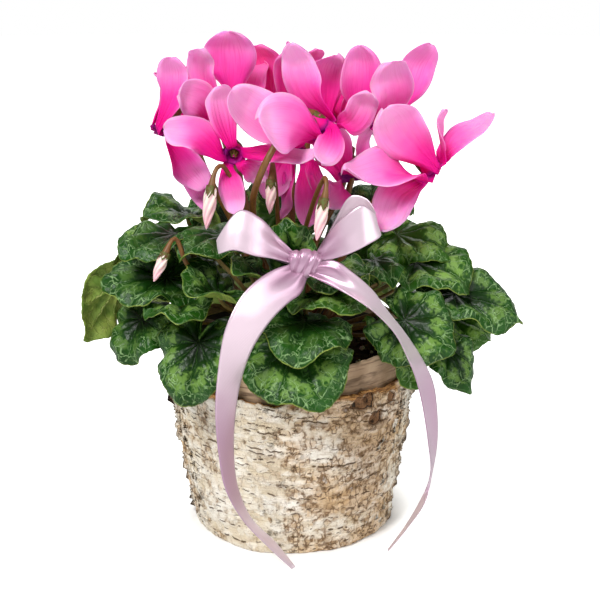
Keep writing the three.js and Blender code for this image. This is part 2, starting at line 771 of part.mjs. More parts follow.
// Each bloom: its throat, the way its mouth looks, its stalk's bends, and its petals, each with
// the middle of its limb, its tip, the way its upper face looks and its width.
const BLOOMS = [
  {
    name: "right",
    throat: [76, -30, 219],
    axis: [0.65, 0.2, -0.7],
    root: [10.5, 318],
    stalk: [[30, -7, 165], [47, -18, 200], [55, -28, 222], [58, -31, 228]],
    petals: [
      { mid: [60, -41, 239], tip: [49, -46, 256], face: [-0.3, -0.9, 0.3], width: 28, peak: 0.7 },
      { mid: [81, -26, 236], tip: [79, -24, 250], face: [0.85, -0.5, 0], width: 13 },
      { mid: [93, -20, 236], tip: [110, -15, 243], face: [-0.1, -0.8, 0.6], width: 16 },
      { mid: [56, -50, 206], tip: [50, -57, 188], face: [-0.4, -0.9, 0.1], width: 20 },
      { mid: [50, -50, 222], tip: [26, -58, 217], face: [-0.1, -0.8, 0.6], width: 29, peak: 0.5 },
    ],
  },
  {
    name: "front",
    throat: [17, -44, 243],
    axis: [0.75, -0.1, -0.65],
    root: [10.5, 268],
    stalk: [[-12, -24, 160], [-21, -46, 200], [-15, -61, 224], [-6, -56, 240], [1, -46, 251]],
    petals: [
      { mid: [-1, -62, 248], tip: [-18, -70, 249], face: [-0.2, -0.9, 0.4], width: 31, peak: 0.68 },
      { mid: [-14, -50, 250], tip: [-31, -50, 264], face: [-0.2, -0.9, 0.3], width: 25 },
      { mid: [8, -40, 263], tip: [2, -40, 288], face: [-0.3, -0.9, 0.1], width: 20, peak: 0.5 },
      { mid: [32, -34, 246], tip: [40, -34, 262], face: [0.3, -0.9, 0.2], width: 18 },
      { mid: [20, -58, 238], tip: [14, -64, 227], face: [0.2, -0.8, 0.5], width: 16 },
    ],
  },
  {
    name: "left_open",
    throat: [-31, -40, 228],
    axis: [0, -0.97, -0.25],
    root: [10.5, 240],
    stalk: [[-14, -16, 160], [-28, -18, 205], [-30, -20, 226]],
    petals: [
      { mid: [-50, -44, 240], tip: [-67, -42, 240], face: [-0.1, -0.8, 0.6], width: 22, peak: 0.6 },
      { mid: [-36, -42, 246], tip: [-40, -39, 264], face: [0.5, -0.8, 0.1], width: 16 },
      { mid: [-10, -49, 230], tip: [13, -53, 226], face: [0.1, -0.7, 0.7], width: 12 },
      { mid: [-23, -40, 221], tip: [-17, -33, 214], face: [0.3, -0.9, -0.1], width: 13 },
      { mid: [-32, -49, 214], tip: [-29, -50, 199], face: [0, -0.95, 0], width: 14 },
    ],
  },
  {
    name: "left",
    throat: [-73, 0, 235],
    axis: [-0.6, -0.3, -0.75],
    root: [10.5, 165],
    stalk: [[-30, 6, 170], [-52, 10, 215], [-60, 8, 244]],
    petals: [
      { mid: [-66, -8, 257], tip: [-64, -10, 278], face: [-0.3, -0.9, 0.2], width: 20, peak: 0.7 },
      { mid: [-62, 0, 216], tip: [-52, 6, 203], face: [0.2, -0.9, 0], width: 19 },
      { mid: [-60, 12, 206], tip: [-51, 14, 188], face: [0.2, -0.9, 0], width: 12 },
      { mid: [-73, 16, 250], tip: [-70, 26, 264], face: [-0.8, 0.3, 0.3], width: 18 },
      { mid: [-62, 18, 250], tip: [-56, 28, 264], face: [0.1, 0.9, 0.3], width: 20 },
    ],
  },
  {
    name: "left_high",
    throat: [-41, -8, 246],
    axis: [0.3, -0.5, -0.8],
    root: [10.5, 200],
    stalk: [[-20, 0, 170], [-38, 8, 225], [-44, 8, 249]],
    petals: [
      { mid: [-35, -4, 268], tip: [-36, -4, 291], face: [0.2, -0.9, 0.2], width: 30, peak: 0.68 },
      { mid: [-50, -20, 253], tip: [-63, -26, 258], face: [-0.2, -0.8, 0.5], width: 20 },
      { mid: [-48, -14, 268], tip: [-46, -18, 284], face: [-0.4, -0.9, 0.2], width: 16 },
      { mid: [-52, 12, 260], tip: [-50, 22, 278], face: [-0.3, 0.9, 0.2], width: 20 },
      { mid: [-26, 8, 260], tip: [-20, 14, 276], face: [0.5, 0.7, 0.2], width: 20 },
    ],
  },
  {
    name: "back_high",
    throat: [-5, 28, 240],
    axis: [0.1, -0.2, -0.95],
    root: [10.5, 110],
    stalk: [[-4, 24, 180], [-8, 40, 225], [-8, 38, 254]],
    petals: [
      { mid: [-14, 22, 264], tip: [-18, 20, 283], face: [-0.5, -0.8, 0.2], width: 20, peak: 0.75 },
      { mid: [-3, 18, 262], tip: [-3, 12, 281], face: [0.2, -0.9, 0.2], width: 18, peak: 0.75 },
      { mid: [5, 28, 262], tip: [9, 30, 280], face: [0.8, -0.5, 0.2], width: 16 },
      { mid: [2, 46, 258], tip: [8, 56, 272], face: [0.4, 0.9, 0.2], width: 22 },
      { mid: [-20, 42, 258], tip: [-24, 52, 272], face: [-0.5, 0.8, 0.2], width: 22 },
    ],
  },
  {
    name: "back_middle",
    throat: [20, 12, 240],
    axis: [0.1, -0.3, -0.9],
    root: [10.5, 60],
    stalk: [[8, 18, 180], [9, 25, 225], [12, 25, 249]],
    petals: [
      { mid: [10, 8, 264], tip: [2, 10, 286], face: [-0.8, -0.6, 0.1], width: 14 },
      { mid: [20, 2, 264], tip: [24, -2, 280], face: [0.1, -0.9, 0.2], width: 22, peak: 0.7 },
      { mid: [31, 10, 257], tip: [36, 12, 275], face: [0.8, 0.2, 0.3], width: 16 },
      { mid: [30, 32, 258], tip: [36, 44, 272], face: [0.4, 0.9, 0.2], width: 22 },
      { mid: [18, 34, 256], tip: [18, 48, 266], face: [-0.5, 0.8, 0.2], width: 18 },
    ],
  },
  {
    name: "right_high",
    throat: [46, 0, 238],
    axis: [0, -0.35, -0.9],
    root: [10.5, 15],
    stalk: [[24, 10, 165], [38, 18, 215], [47, 14, 248]],
    petals: [
      { mid: [39, -4, 262], tip: [39, -2, 283], face: [-0.3, -0.9, 0.1], width: 22, peak: 0.65 },
      { mid: [56, -20, 258], tip: [50, -22, 276], face: [0.3, -0.9, 0.3], width: 24, peak: 0.6 },
      { mid: [64, 4, 258], tip: [74, 12, 282], face: [0.4, -0.85, 0.2], width: 20, peak: 0.7 },
      { mid: [58, 24, 254], tip: [66, 34, 266], face: [0.4, 0.9, 0.2], width: 22 },
      { mid: [40, 22, 255], tip: [38, 30, 268], face: [-0.5, 0.8, 0.2], width: 16 },
    ],
  },
  {
    name: "centre_low",
    throat: [33, -8, 212],
    axis: [0.1, -0.5, -0.85],
    root: [10.5, 345],
    stalk: [[12, 0, 165], [28, 4, 200], [34, 4, 222]],
    petals: [
      { mid: [24, -14, 228], tip: [13, -18, 242], face: [-0.1, -0.9, 0.3], width: 20 },
      { mid: [39, -6, 226], tip: [42, 0, 238], face: [0.5, -0.8, 0.1], width: 13 },
      { mid: [28, -16, 204], tip: [17, -18, 198], face: [0.1, -0.9, 0.2], width: 18 },
      { mid: [44, 10, 218], tip: [52, 20, 228], face: [0.7, 0.6, 0.1], width: 16 },
      { mid: [22, 10, 222], tip: [16, 20, 230], face: [-0.3, 0.9, 0.1], width: 18 },
    ],
  },
  {
    name: "centre_hanging",
    throat: [3, -2, 222],
    axis: [0, -0.9, -0.4],
    root: [1, 90],
    stalk: [[0, 4, 165], [0, 18, 205], [2, 16, 226]],
    petals: [
      { mid: [8, -10, 202], tip: [9, -12, 183], face: [0.1, -0.95, 0.1], width: 15 },
      { mid: [-3, -9, 203], tip: [-2, -8, 187], face: [-0.8, -0.5, 0.1], width: 9 },
      { mid: [14, -6, 208], tip: [21, -4, 195], face: [0.4, -0.9, 0.1], width: 11 },
      { mid: [-8, -4, 212], tip: [-16, -2, 200], face: [-0.2, -0.9, 0], width: 18 },
      { mid: [2, -10, 238], tip: [0, -6, 252], face: [0, -0.9, 0.3], width: 18 },
    ],
  },
];

// ---------------------------------------------------------------- buds
// A twisted pointed bud under a hooked stalk, all one piece.
function budSolid(bud) {
  const neck = vec(bud.at);
  const way = vec(bud.tip).sub(neck);
  const length = way.length();
  way.normalize();
  const foot = crown(bud.root, standing);
  const start = crown(bud.root, TUBER.top + 4);
  const path = [foot, start, ...bud.stalk.map(vec)];
  path.push(...hook(path, neck, way, 5), neck, vec(bud.tip));
  const top = [12, 8.5, 5].map((distance) => [-length - distance, STALK.bud]);
  const rings = [...evenRings(path, STALK.bud, 4, length + 17), ...top];
  const body = [
    [-length - 1.5, 2.4],
    [-length + 1, 3],
    [-length * 0.66, bud.girth],
    [-length * 0.3, bud.girth * 0.72],
    [-0.001, 0],
  ];
  return stalk(path, 5, [...rings, ...body]);
}

const BUDS = [
  {
    name: "bud_left", at: [-42, -56, 214], tip: [-45, -60, 192], girth: 3.3, root: [15.5, 226],
    stalk: [[-19, -28, 175], [-29, -41, 207], [-34, -47, 220]],
  },
  {
    name: "bud_knot", at: [17, -74, 211], tip: [13, -77, 190], girth: 3.1, root: [5, 300],
    stalk: [[4, -18, 165], [12, -48, 205], [16, -63, 218]],
  },
  {
    name: "bud_low", at: [-67, -61, 179], tip: [-73, -66, 165], girth: 2.7, root: [19.5, 226],
    stalk: [[-44, -42, 152], [-57, -57, 174], [-60, -56, 183]],
  },
  {
    name: "bud_middle", at: [-11, -38, 214], tip: [-12, -40, 196], girth: 2.8, root: [5, 220],
    stalk: [[-7, -8, 165], [-9, -20, 206], [-10, -27, 218]],
  },
];

// ---------------------------------------------------------------- ribbon
// A strip of ribbon through stations, each its left edge and its right edge.
function strip(stations, steps, columns) {
  const curve = (i) =>
    new THREE.CatmullRomCurve3(
      stations.map((row) => vec(row[i])),
      false,
      "centripetal",
    );
  const [left, right] = [curve(0), curve(1)];
  const points = [];
  for (let r = 0; r <= steps; r++) {
    const a = left.getPoint(r / steps);
    const b = right.getPoint(r / steps);
    for (let c = 0; c < columns; c++) points.push(a.clone().lerp(b, c / (columns - 1)));
  }
  const { triangles, rim } = grid(steps + 1, columns);
  return blade(points, triangles, rim, BLADE.ribbon);
}

const TAIL_LEFT = [
  [[1, -74, 177], [9, -75, 171]],
  [[-9, -79, 175], [5, -81, 163]],
  [[-18, -86, 171], [-1, -84, 159]],
  [[-25, -92, 165], [-8, -87, 153]],
  [[-30, -97, 157], [-14, -90, 146]],
  [[-34, -100, 147], [-20, -91, 136]],
  [[-37, -103, 129], [-26, -90, 119]],
  [[-39, -102, 106], [-30, -87, 95]],
  [[-38, -100, 81], [-31, -84, 71]],
  [[-35, -98, 60], [-29, -83, 53]],
  [[-26, -97, 41], [-22, -83, 35]],
  [[-13, -96, 25], [-9, -84, 21]],
  [[0, -92, 9], [2, -88, 8]],
];
const TAIL_RIGHT = [
  [[10, -74, 177], [7, -75, 172]],
  [[22, -79, 180], [19, -82, 168]],
  [[32, -81, 174], [27, -87, 165]],
  [[42, -82, 165], [35, -94, 162]],
  [[50, -82, 154], [43, -98, 157]],
  [[60, -82, 141], [53, -98, 146]],
  [[69, -82, 127], [60, -98, 132]],
  [[75, -80, 114], [64, -96, 122]],
  [[78, -78, 98], [68, -95, 107]],
  [[79, -77, 78], [72, -93, 85]],
  [[77, -78, 61], [74, -92, 67]],
  [[72, -88, 47], [70, -78, 42]],
  [[63, -90, 33], [62, -80, 28]],
  [[53, -87, 17], [53, -83, 16]],
];
const LOOP_LEFT = [
  [[3, -71, 180], [2, -73, 176]],
  [[-7, -73, 191], [-9, -80, 181]],
  [[-16, -77, 202], [-19, -85, 184]],
  [[-26, -77, 206], [-29, -85, 187]],
  [[-37, -76, 196], [-36, -80, 184]],
  [[-38, -71, 189], [-34, -70, 183]],
  [[-28, -67, 200], [-26, -65, 181]],
  [[-14, -66, 195], [-15, -63, 178]],
  [[2, -71, 178], [2, -71, 174]],
];
const LOOP_RIGHT = [
  [[11, -71, 180], [12, -73, 177]],
  [[19, -73, 193], [22, -79, 181]],
  [[26, -78, 202], [30, -84, 185]],
  [[36, -79, 209], [38, -84, 189]],
  [[43, -75, 204], [46, -78, 193]],
  [[39, -68, 210], [41, -67, 196]],
  [[31, -65, 211], [31, -63, 196]],
  [[22, -65, 197], [22, -64, 186]],
  [[12, -71, 178], [12, -71, 175]],
];

// The knot: a soft barrel over the middle of the bow, with room inside for the strips' ends.
function knot() {
  const ball = new THREE.SphereGeometry(1, 10, 6);
  ball.scale(KNOT.width / 2, KNOT.depth / 2, KNOT.height / 2);
  return solid(ball.translate(7, -73.5, 177));
}

// The florist's pick that holds the bow, pushed into the soil.
const PICK = [[7, -68, 176], [6, -58, 158], [4, -42, 130], [3, -36, 104], [3, -34, 82]];
const pick = () => stalk(PICK.map(vec), 5, evenRings(PICK.map(vec), 1.4, 7, 0));

// ---------------------------------------------------------------- the whole plant
export const plant = new THREE.Group();
const earlier = [];

const near = (a, b) =>
  [0, 1, 2].every((k) => a.min[k] < b.max[k] && b.min[k] < a.max[k]);

// Adds a piece after cutting room in it for the pieces before it that it would touch.
function put(name, look, build) {
  let made = build();
  for (const { room, box } of earlier)
    if (near(made.boundingBox(), box)) made = made.subtract(room);
  swell = GAP;
  const room = build();
  swell = 0;
  earlier.push({ room, box: room.boundingBox() });
  plant.add(mesh(name, made, look));
}

const satin = material(COLOUR.ribbon, 0.35);
put("bark_outer", material(COLOUR.bark, 0.9), () => outerBark());
put("bark_inner", material(COLOUR.innerBark, 0.9), () => innerBark());
put("pot_liner", material(COLOUR.liner, 0.5), () => liner());
put("tuber", material(COLOUR.tuber, 0.9), () => tuber(0));
put("ribbon_pick", material(COLOUR.pick, 0.6), pick);
put("soil", material(COLOUR.soil, 0.95), () => soil(tuber(GAP)));
put("ribbon_knot", satin, () => knot());
put("ribbon_tail_left", satin, () => strip(TAIL_LEFT, 17, 2));
put("ribbon_tail_right", satin, () => strip(TAIL_RIGHT, 18, 2));
put("ribbon_loop_left", satin, () => strip(LOOP_LEFT, 15, 3));
put("ribbon_loop_right", satin, () => strip(LOOP_RIGHT, 15, 3));
for (const bloom of BLOOMS)
  put("stem_" + bloom.name, material(COLOUR.stalk, 0.5), () => flowerStalk(bloom));
for (const bud of BUDS) put(bud.name, material(COLOUR.bud, 0.5), () => budSolid(bud));
for (const bloom of BLOOMS)
  put("bloom_" + bloom.name, material(COLOUR.petal, 0.5), () => bloomSolid(bloom));
const nodes = new Set(LEAVES.map((leaf) => leaf.node ?? leaf.name));
for (const node of nodes)
  put(node, material(COLOUR.leaf, 0.45), () =>
    joined(LEAVES.filter((leaf) => (leaf.node ?? leaf.name) === node).map(leafSolid)),
  );

export default plant;
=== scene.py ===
import math
import bpy
import numpy as np
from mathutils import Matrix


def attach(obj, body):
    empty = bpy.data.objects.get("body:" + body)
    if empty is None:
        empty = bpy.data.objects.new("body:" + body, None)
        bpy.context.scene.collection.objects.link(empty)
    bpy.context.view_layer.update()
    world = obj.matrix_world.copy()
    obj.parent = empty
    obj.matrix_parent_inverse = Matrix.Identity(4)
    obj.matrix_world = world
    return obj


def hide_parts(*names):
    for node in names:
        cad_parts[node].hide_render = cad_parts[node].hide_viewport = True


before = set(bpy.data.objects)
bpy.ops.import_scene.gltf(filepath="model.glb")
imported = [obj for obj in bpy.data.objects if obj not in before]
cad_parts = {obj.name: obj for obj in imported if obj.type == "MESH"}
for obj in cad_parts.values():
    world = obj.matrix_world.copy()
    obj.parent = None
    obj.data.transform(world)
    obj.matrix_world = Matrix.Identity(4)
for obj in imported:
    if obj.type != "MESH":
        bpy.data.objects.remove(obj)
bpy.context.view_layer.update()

# Sizes are in millimetres, but for the camera, the lamps, the floor and the sheets' flat sizes.
MM = 0.001

# ---- camera
# It stands in front and a little above, as for the photograph. Angles are in degrees.
scene = bpy.context.scene
scene.view_settings.view_transform = "Standard"
viewer = bpy.data.objects.new("camera", bpy.data.cameras.new("camera"))
viewer.data.lens = 67.5
viewer.data.sensor_width = 36
viewer.location = (0.0045, -0.640, 0.326)
viewer.rotation_euler = (math.radians(73.4), 0, 0)
scene.collection.objects.link(viewer)
scene.camera = viewer


# ---- outer bark
# The sleeve of birch bark round the pot: white outer layers that peel in plates, dark dashes
# across them, scars where twigs grew, and a torn brown rim. It is bent round and glued.
PLANTER = dict(foot=60, rim=75.3, height=102, wall=3.6, inner_height=119, inner_wall=2.2,
               relief=1.1)
WALL_GAP = 0.9


def hue(text):
    """A colour from its six-figure chart number, as light."""
    parts = [int(text[i : i + 2], 16) / 255 for i in (1, 3, 5)]
    light = [c / 12.92 if c < 0.04045 else ((c + 0.055) / 1.055) ** 2.4 for c in parts]
    return (*light, 1.0)


class Finish:
    """One material: its shader, and helpers that add nodes and give back their result."""

    def __init__(self, name, **sockets):
        self.material = bpy.data.materials.new(name)
        self.material.use_nodes = True
        self.tree = self.material.node_tree
        self.shader = self.tree.nodes["Principled BSDF"]
        self.place = self.node("TexCoord").outputs["Object"]
        for socket, value in sockets.items():
            self.give(socket.replace("_", " "), value)

    def feed(self, socket, value):
        if isinstance(value, bpy.types.NodeSocket):
            self.tree.links.new(value, socket)
        else:
            socket.default_value = hue(value) if isinstance(value, str) else value

    def give(self, socket, value):
        self.feed(self.shader.inputs[socket], value)

    def node(self, kind, *values, **settings):
        made = self.tree.nodes.new("ShaderNode" + kind)
        for key, value in settings.items():
            setattr(made, key, value)
        for socket, value in zip(made.inputs, values):
            if value is not None:
                self.feed(socket, value)
        return made

    def fact(self, name):
        """A value that the mesh carries at each of its points."""
        return self.node("Attribute", attribute_name=name).outputs["Fac"]

    def maths(self, way, *values):
        return self.node("Math", *values, operation=way).outputs[0]

    def times(self, value, by, plus=None):
        if plus is None:
            return self.maths("MULTIPLY", value, by)
        return self.maths("MULTIPLY_ADD", value, by, plus)

    def nudge(self, base, noise, amount):
        """The base, moved up or down by a noise whose middle is 0.5."""
        return self.times(self.maths("SUBTRACT", noise, 0.5), amount, base)

    def span(self, value, low, high, to_low=0.0, to_high=1.0):
        """A value eased from one range to another."""
        made = self.node("MapRange", value, low, high, to_low, to_high,
                         interpolation_type="SMOOTHSTEP")
        return made.outputs[0]

    def mix(self, share, first, second):
        made = self.node("Mix", share, data_type="RGBA")
        self.feed(made.inputs[6], first)
        self.feed(made.inputs[7], second)
        return made.outputs[2]

    def stretch(self, x, y, z):
        return self.node("Mapping", self.place, None, None, (x, y, z)).outputs[0]

    def noise(self, scale, detail, place=None):
        made = self.node("TexNoise", place or self.place)
        made.inputs["Scale"].default_value = scale
        made.inputs["Detail"].default_value = detail
        return made.outputs[0]

    def warped(self, place, warp):
        return self.node("VectorMath", place, warp, operation="ADD").outputs[0]

    def cell_edges(self, scale, place):
        made = self.node("TexVoronoi", place, feature="DISTANCE_TO_EDGE")
        made.inputs["Scale"].default_value = scale
        return made.outputs["Distance"]

    def bump(self, height, depth, strength=1.0):
        made = self.node("Bump")
        self.feed(made.inputs["Strength"], strength)
        self.feed(made.inputs["Distance"], depth * MM)
        self.feed(made.inputs["Height"], height)
        self.give("Normal", made.outputs[0])


def piece(name, nodes, parts):
    """One object from parts, each with points in mm, faces, a look and facts for its nodes."""
    looks = list({id(part["look"]): part["look"] for part in parts}.values())
    faces = []
    worn = []
    start = 0
    for part in parts:
        faces += [tuple(start + i for i in face) for face in part["faces"]]
        worn += [looks.index(part["look"])] * len(part["faces"])
        start += len(part["points"])
    data = bpy.data.meshes.new(name)
    data.from_pydata((np.vstack([part["points"] for part in parts]) * MM).tolist(), [], faces)
    for key in sorted({key for part in parts for key in part.get("facts", {})}):
        blank = [np.zeros(len(part["points"])) for part in parts]
        values = [part.get("facts", {}).get(key, none) for part, none in zip(parts, blank)]
        layer = data.attributes.new(key, "FLOAT", "POINT")
        layer.data.foreach_set("value", np.concatenate(values).astype(np.float32))
    data.polygons.foreach_set("use_smooth", [True] * len(faces))
    for look in looks:
        data.materials.append(look.material)
    data.polygons.foreach_set("material_index", worn)
    made = bpy.data.objects.new(name, data)
    scene.collection.objects.link(made)
    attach(made, "root")
    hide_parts(*nodes)
    return made


def smooth(t):
    t = np.clip(t, 0, 1)
    return t * t * (3 - 2 * t)


def wobble(angle, height, seed):
    """A repeatable wobble from -1 to 1 that is even all round."""
    return (
        0.5 * np.sin(3 * angle + seed + height * 0.05)
        + 0.3 * np.sin(7 * angle - 2 * seed - height * 0.11)
        + 0.2 * np.sin(13 * angle + 5 * seed + height * 0.23)
    )


def patchy(x, y, seed, wrap=256):
    """Smooth random patches from 0 to 1, one unit across, that repeat after `wrap` units of x."""
    lattice = np.random.default_rng(seed).random((wrap, 256))
    i = np.floor(x).astype(int)
    j = np.floor(y).astype(int)
    fx = smooth(x - i)
    fy = smooth(y - j)
    low = lattice[i % wrap, j % 256] * (1 - fx) + lattice[(i + 1) % wrap, j % 256] * fx
    high = lattice[i % wrap, (j + 1) % 256] * (1 - fx) + lattice[(i + 1) % wrap, (j + 1) % 256] * fx
    return low * (1 - fy) + high * fy


def outer_radius(z):
    return PLANTER["foot"] + (PLANTER["rim"] - PLANTER["foot"]) * z / PLANTER["height"]


def band(rows, columns, closed=True, start=0):
    """The faces over rows of points, each row running round or across."""
    count = columns if closed else columns - 1
    return [
        (start + r * columns + c, start + r * columns + (c + 1) % columns,
         start + (r + 1) * columns + (c + 1) % columns, start + (r + 1) * columns + c)
        for r in range(rows - 1)
        for c in range(count)
    ]


def wheel(radius, angle, height):
    return np.stack([radius * np.cos(angle), radius * np.sin(angle), height + 0 * angle], axis=-1)


def closed_wall(rows, columns):
    """The faces of a wall whose rows run round it: up outside, over its top and down inside."""
    last = (rows - 1) * columns
    foot = [(last + c, last + (c + 1) % columns, (c + 1) % columns, c) for c in range(columns)]
    return band(rows, columns) + foot


CIRCLE = 2 * np.pi
# How finely the bark is drawn, and its radius and girth half way up.
BARK_TURNS = 720
BARK_LEVELS = 150
BARK_RADIUS = 72
BARK_GIRTH = 452
SCAR_RADIUS = 74


def patches_round(turn, count, height, seed):
    """Smooth random patches from 0 to 1, `count` of them in one trip round the planter."""
    return patchy(turn * count / CIRCLE, height, seed, count)


def aside(turn, heading):
    """How far round from a heading each place is, from -pi to pi."""
    return (turn - heading + np.pi) % CIRCLE - np.pi


around = np.arange(BARK_TURNS) * CIRCLE / BARK_TURNS
rim_line = PLANTER["height"] - 2.5 + 3 * wobble(around, 0, 4.1)
rim_line += 1.6 * (patches_round(around, 180, 0 * around, 3) - 0.5)
rim_line += 0.8 * (patches_round(around, 60, 0 * around, 8) - 0.5)
up = np.linspace(0, 1, BARK_LEVELS + 1)[:, None]
turn = np.broadcast_to(around, (BARK_LEVELS + 1, BARK_TURNS))
level = up * rim_line
# Peeled plates: each layer of patches stands a paper's thickness over the one below.
PAPER = 0.36
plates = np.zeros_like(level)
for seed, count, tall in ((11, 22, 9.0), (12, 38, 6.0), (13, 70, 3.4)):
    patch = patches_round(turn, count, level / tall, seed)
    plates += smooth((patch - 0.5) / 0.06) * PAPER
# Dashes: raised pores, longer than tall, in loose rows.
DASH_ROWS = np.arange(3, 101, 4.0)
SHORT_DASH = (2, 7)
LONG_DASH = (10, 32)
DASH_GAP = 8
dash = np.zeros_like(level)
chance = np.random.default_rng(21)
for row in DASH_ROWS:
    at = chance.uniform(0, 6)
    while at < BARK_GIRTH:
        long = chance.choice([chance.uniform(*SHORT_DASH), chance.uniform(*LONG_DASH)])
        height = row + chance.normal(0, 1.1) - 0.4
        tilt = chance.normal(0, 0.03) - 0.05
        apart = aside(turn, (at + long / 2) / BARK_RADIUS)
        near = np.abs(apart) * BARK_RADIUS < long
        apart = apart[near]
        jag = 1.1 * (patchy(apart * 30 + row, 0 * apart, 6) - 0.5)
        slope = tilt * apart * BARK_RADIUS
        across = (level[near] - height - slope + jag) / chance.uniform(0.26, 0.5)
        ends = 2 * np.abs(apart) * BARK_RADIUS / long
        strength = np.exp(-(across**2)) * smooth((1.1 - ends) / 0.3) * chance.uniform(0.4, 1)
        strength *= 0.1 + 1.1 * smooth((patchy(apart * 40 + row, 0 * apart, 5) - 0.2) / 0.4)
        dash[near] = np.maximum(dash[near], strength)
        at += long + chance.exponential(DASH_GAP) + 1.5
# Twig scars, three of them at the right under the rim: dark swirls with a raised brow. Each has
# a heading in degrees, a height, and how wide and tall it is from its middle.
SCARS = ((-57, 95, 9, 5.5), (-49, 83, 6.5, 6), (-41, 92, 4, 5), (95, 60, 8, 6), (170, 30, 6, 5))
scar = np.zeros_like(level)
brow = np.zeros_like(level)
ragged = 0.55 * (patches_round(turn, 130, level / 3, 31) - 0.5)
for heading, height, wide, tall in SCARS:
    apart = aside(turn, math.radians(heading)) * SCAR_RADIUS
    away = np.hypot(apart / wide, (level - height) / tall) + ragged
    scar = np.maximum(scar, smooth((1.1 - away) / 0.5))
    brow += np.exp(-(((away - 1.15) / 0.3) ** 2))
# Upright cracks, mostly at the sides: heading in degrees, lowest and highest point, width.
CRACKS = ((-22, 8, 92, 1.0), (-31, 30, 88, 0.6), (-153, 0, 60, 1.2), (-163, 40, 95, 0.8),
          (-12, 0, 70, 0.9), (30, 20, 90, 1.0), (75, 0, 50, 0.8), (120, 45, 94, 0.9),
          (160, 5, 60, 1.0))
crack = np.zeros_like(level)
for heading, low, high, width in CRACKS:
    path = math.radians(heading) + 0.035 * np.sin(level * 0.13 + heading)
    apart = aside(turn, path + 0.012 * np.sin(level * 0.9)) * BARK_RADIUS
    ends = smooth((level - low) / 8) * smooth((high - level) / 8)
    crack = np.maximum(crack, np.exp(-((apart / width) ** 2)) * ends)
# The rim is torn down to the brown layer, further in some places than in others.
ragged = 5 * (patches_round(turn, 40, level / 30, 17) - 0.5)
torn = smooth((level - rim_line + 3.4 + ragged) / 1.6)
torn = torn * smooth((patches_round(turn, 14, 0 * level, 19) - 0.25) / 0.2)
grain = patches_round(turn, 400, level / 0.8, 23) - 0.5
# Stains: heading in degrees, strength, and spread in radians.
STAINS = ((307, 0.62, 0.62), (100, 0.4, 0.8), (192, 0.5, 0.22))
stain = 0.75 * (patches_round(turn, 24, level / 17, 27) - 0.55)
for heading, strength, spread in STAINS:
    stain += strength * np.exp(-((aside(turn, math.radians(heading)) / spread) ** 2))
# Where it is stained the bark is rough: small plates with pits between them.
rugged = smooth((stain - 0.02) / 0.6)
rough = patches_round(turn, 110, level / 2.4, 33)
finer = patches_round(turn, 250, level / 1.1, 34)
pit = rugged * smooth((0.38 - 0.55 * rough - 0.45 * finer) / 0.14)
reach = outer_radius(level) + PLANTER["relief"] * wobble(turn, level, 1.7)
reach += rugged * (1.3 * (rough - 0.5) + 0.7 * (finer - 0.5))
reach += plates - 0.5 + 0.35 * dash + 0.25 * grain - 1.3 * crack
reach += 0.9 * np.clip(brow, 0, 1) - 1.5 * scar - 0.7 * torn
reach[0] -= 0.8


def inner_face(z):
    return outer_radius(z) - PLANTER["wall"]


def with_inside(values, inside):
    """A fact of the outer face, with one value for the lip and the inner face."""
    return np.concatenate([values.ravel(), np.full(3 * BARK_TURNS, inside)])


bark_points = np.vstack([
    wheel(reach, turn, level).reshape(-1, 3),
    wheel(reach[-1] - 1.2, around, rim_line + 0.3),
    wheel(inner_face(rim_line), around, rim_line - 0.4),
    wheel(inner_face(0 * around), around, 0 * around),
])
bark_faces = closed_wall(BARK_LEVELS + 4, BARK_TURNS)
bark_facts = dict(dash=with_inside(dash, 0), scar=with_inside(scar, 0),
                  crack=with_inside(crack, 0), torn=with_inside(torn, 1),
                  stain=with_inside(stain, 0.5), plate=with_inside(plates, 0.4),
                  pit=with_inside(pit, 0))

bark = Finish("birch_bark", Roughness=0.85, Specular_IOR_Level=0.25)
fibres = bark.noise(1.0, 5, bark.stretch(110, 110, 1500))
mottle = bark.noise(190, 6)
clouds = bark.noise(38, 3)
specks = bark.noise(900, 3)
layer = bark.times(bark.fact("plate"), 0.22, bark.times(clouds, 0.8))
thin = bark.stretch(190, 190, 340)
warp = bark.node("TexNoise", thin, None, 0.8, 3.0).outputs[1]
scaly = bark.node("TexVoronoi", bark.warped(thin, warp), None, 1.0).outputs["Color"]
scaly = bark.nudge(scaly, mottle, 0.5)
look = bark.mix(bark.span(layer, 0.3, 0.72), "#dacbb0", "#efe9dd")
look = bark.mix(bark.span(mottle, 0.5, 0.72, 0, 0.6), look, "#c9b08c")
look = bark.mix(bark.span(fibres, 0.5, 0.75, 0, 0.6), look, "#a68d6b")
look = bark.mix(bark.span(scaly, 0.42, 0.15, 0, 0.5), look, "#f4efe4")
brown = bark.times(mottle, 0.9, bark.maths("SUBTRACT", bark.fact("stain"), 0.35))
look = bark.mix(bark.span(brown, 0.15, 0.8, 0, 0.65), look, "#c49b66")
coarse = bark.span(brown, 0.1, 0.6)
look = bark.mix(bark.times(coarse, bark.span(scaly, 0.45, 0.8, 0, 0.5)), look, "#a5835a")
look = bark.mix(bark.times(coarse, bark.span(scaly, 0.74, 0.84, 0, 0.35)), look, "#5d4229")
upright = bark.warped(bark.stretch(330, 330, 170), warp)
furrows = bark.span(bark.cell_edges(1.0, upright), 0.13, 0.03)
furrows = bark.times(furrows, bark.span(mottle, 0.4, 0.6))
look = bark.mix(bark.times(furrows, bark.span(brown, 0.1, 0.5, 0, 0.75)), look, "#64472c")
look = bark.mix(bark.span(bark.fact("pit"), 0.2, 1.0, 0, 0.7), look, "#5a4029")
look = bark.mix(bark.span(specks, 0.58, 0.7, 0, 0.4), look, "#84694a")
look = bark.mix(bark.span(mottle, 0.62, 0.75, 0, 0.4), look, "#f3efe6")
under_bark = bark.mix(bark.span(fibres, 0.35, 0.65), "#6b4526", "#cf9a5c")
look = bark.mix(bark.fact("torn"), look, under_bark)
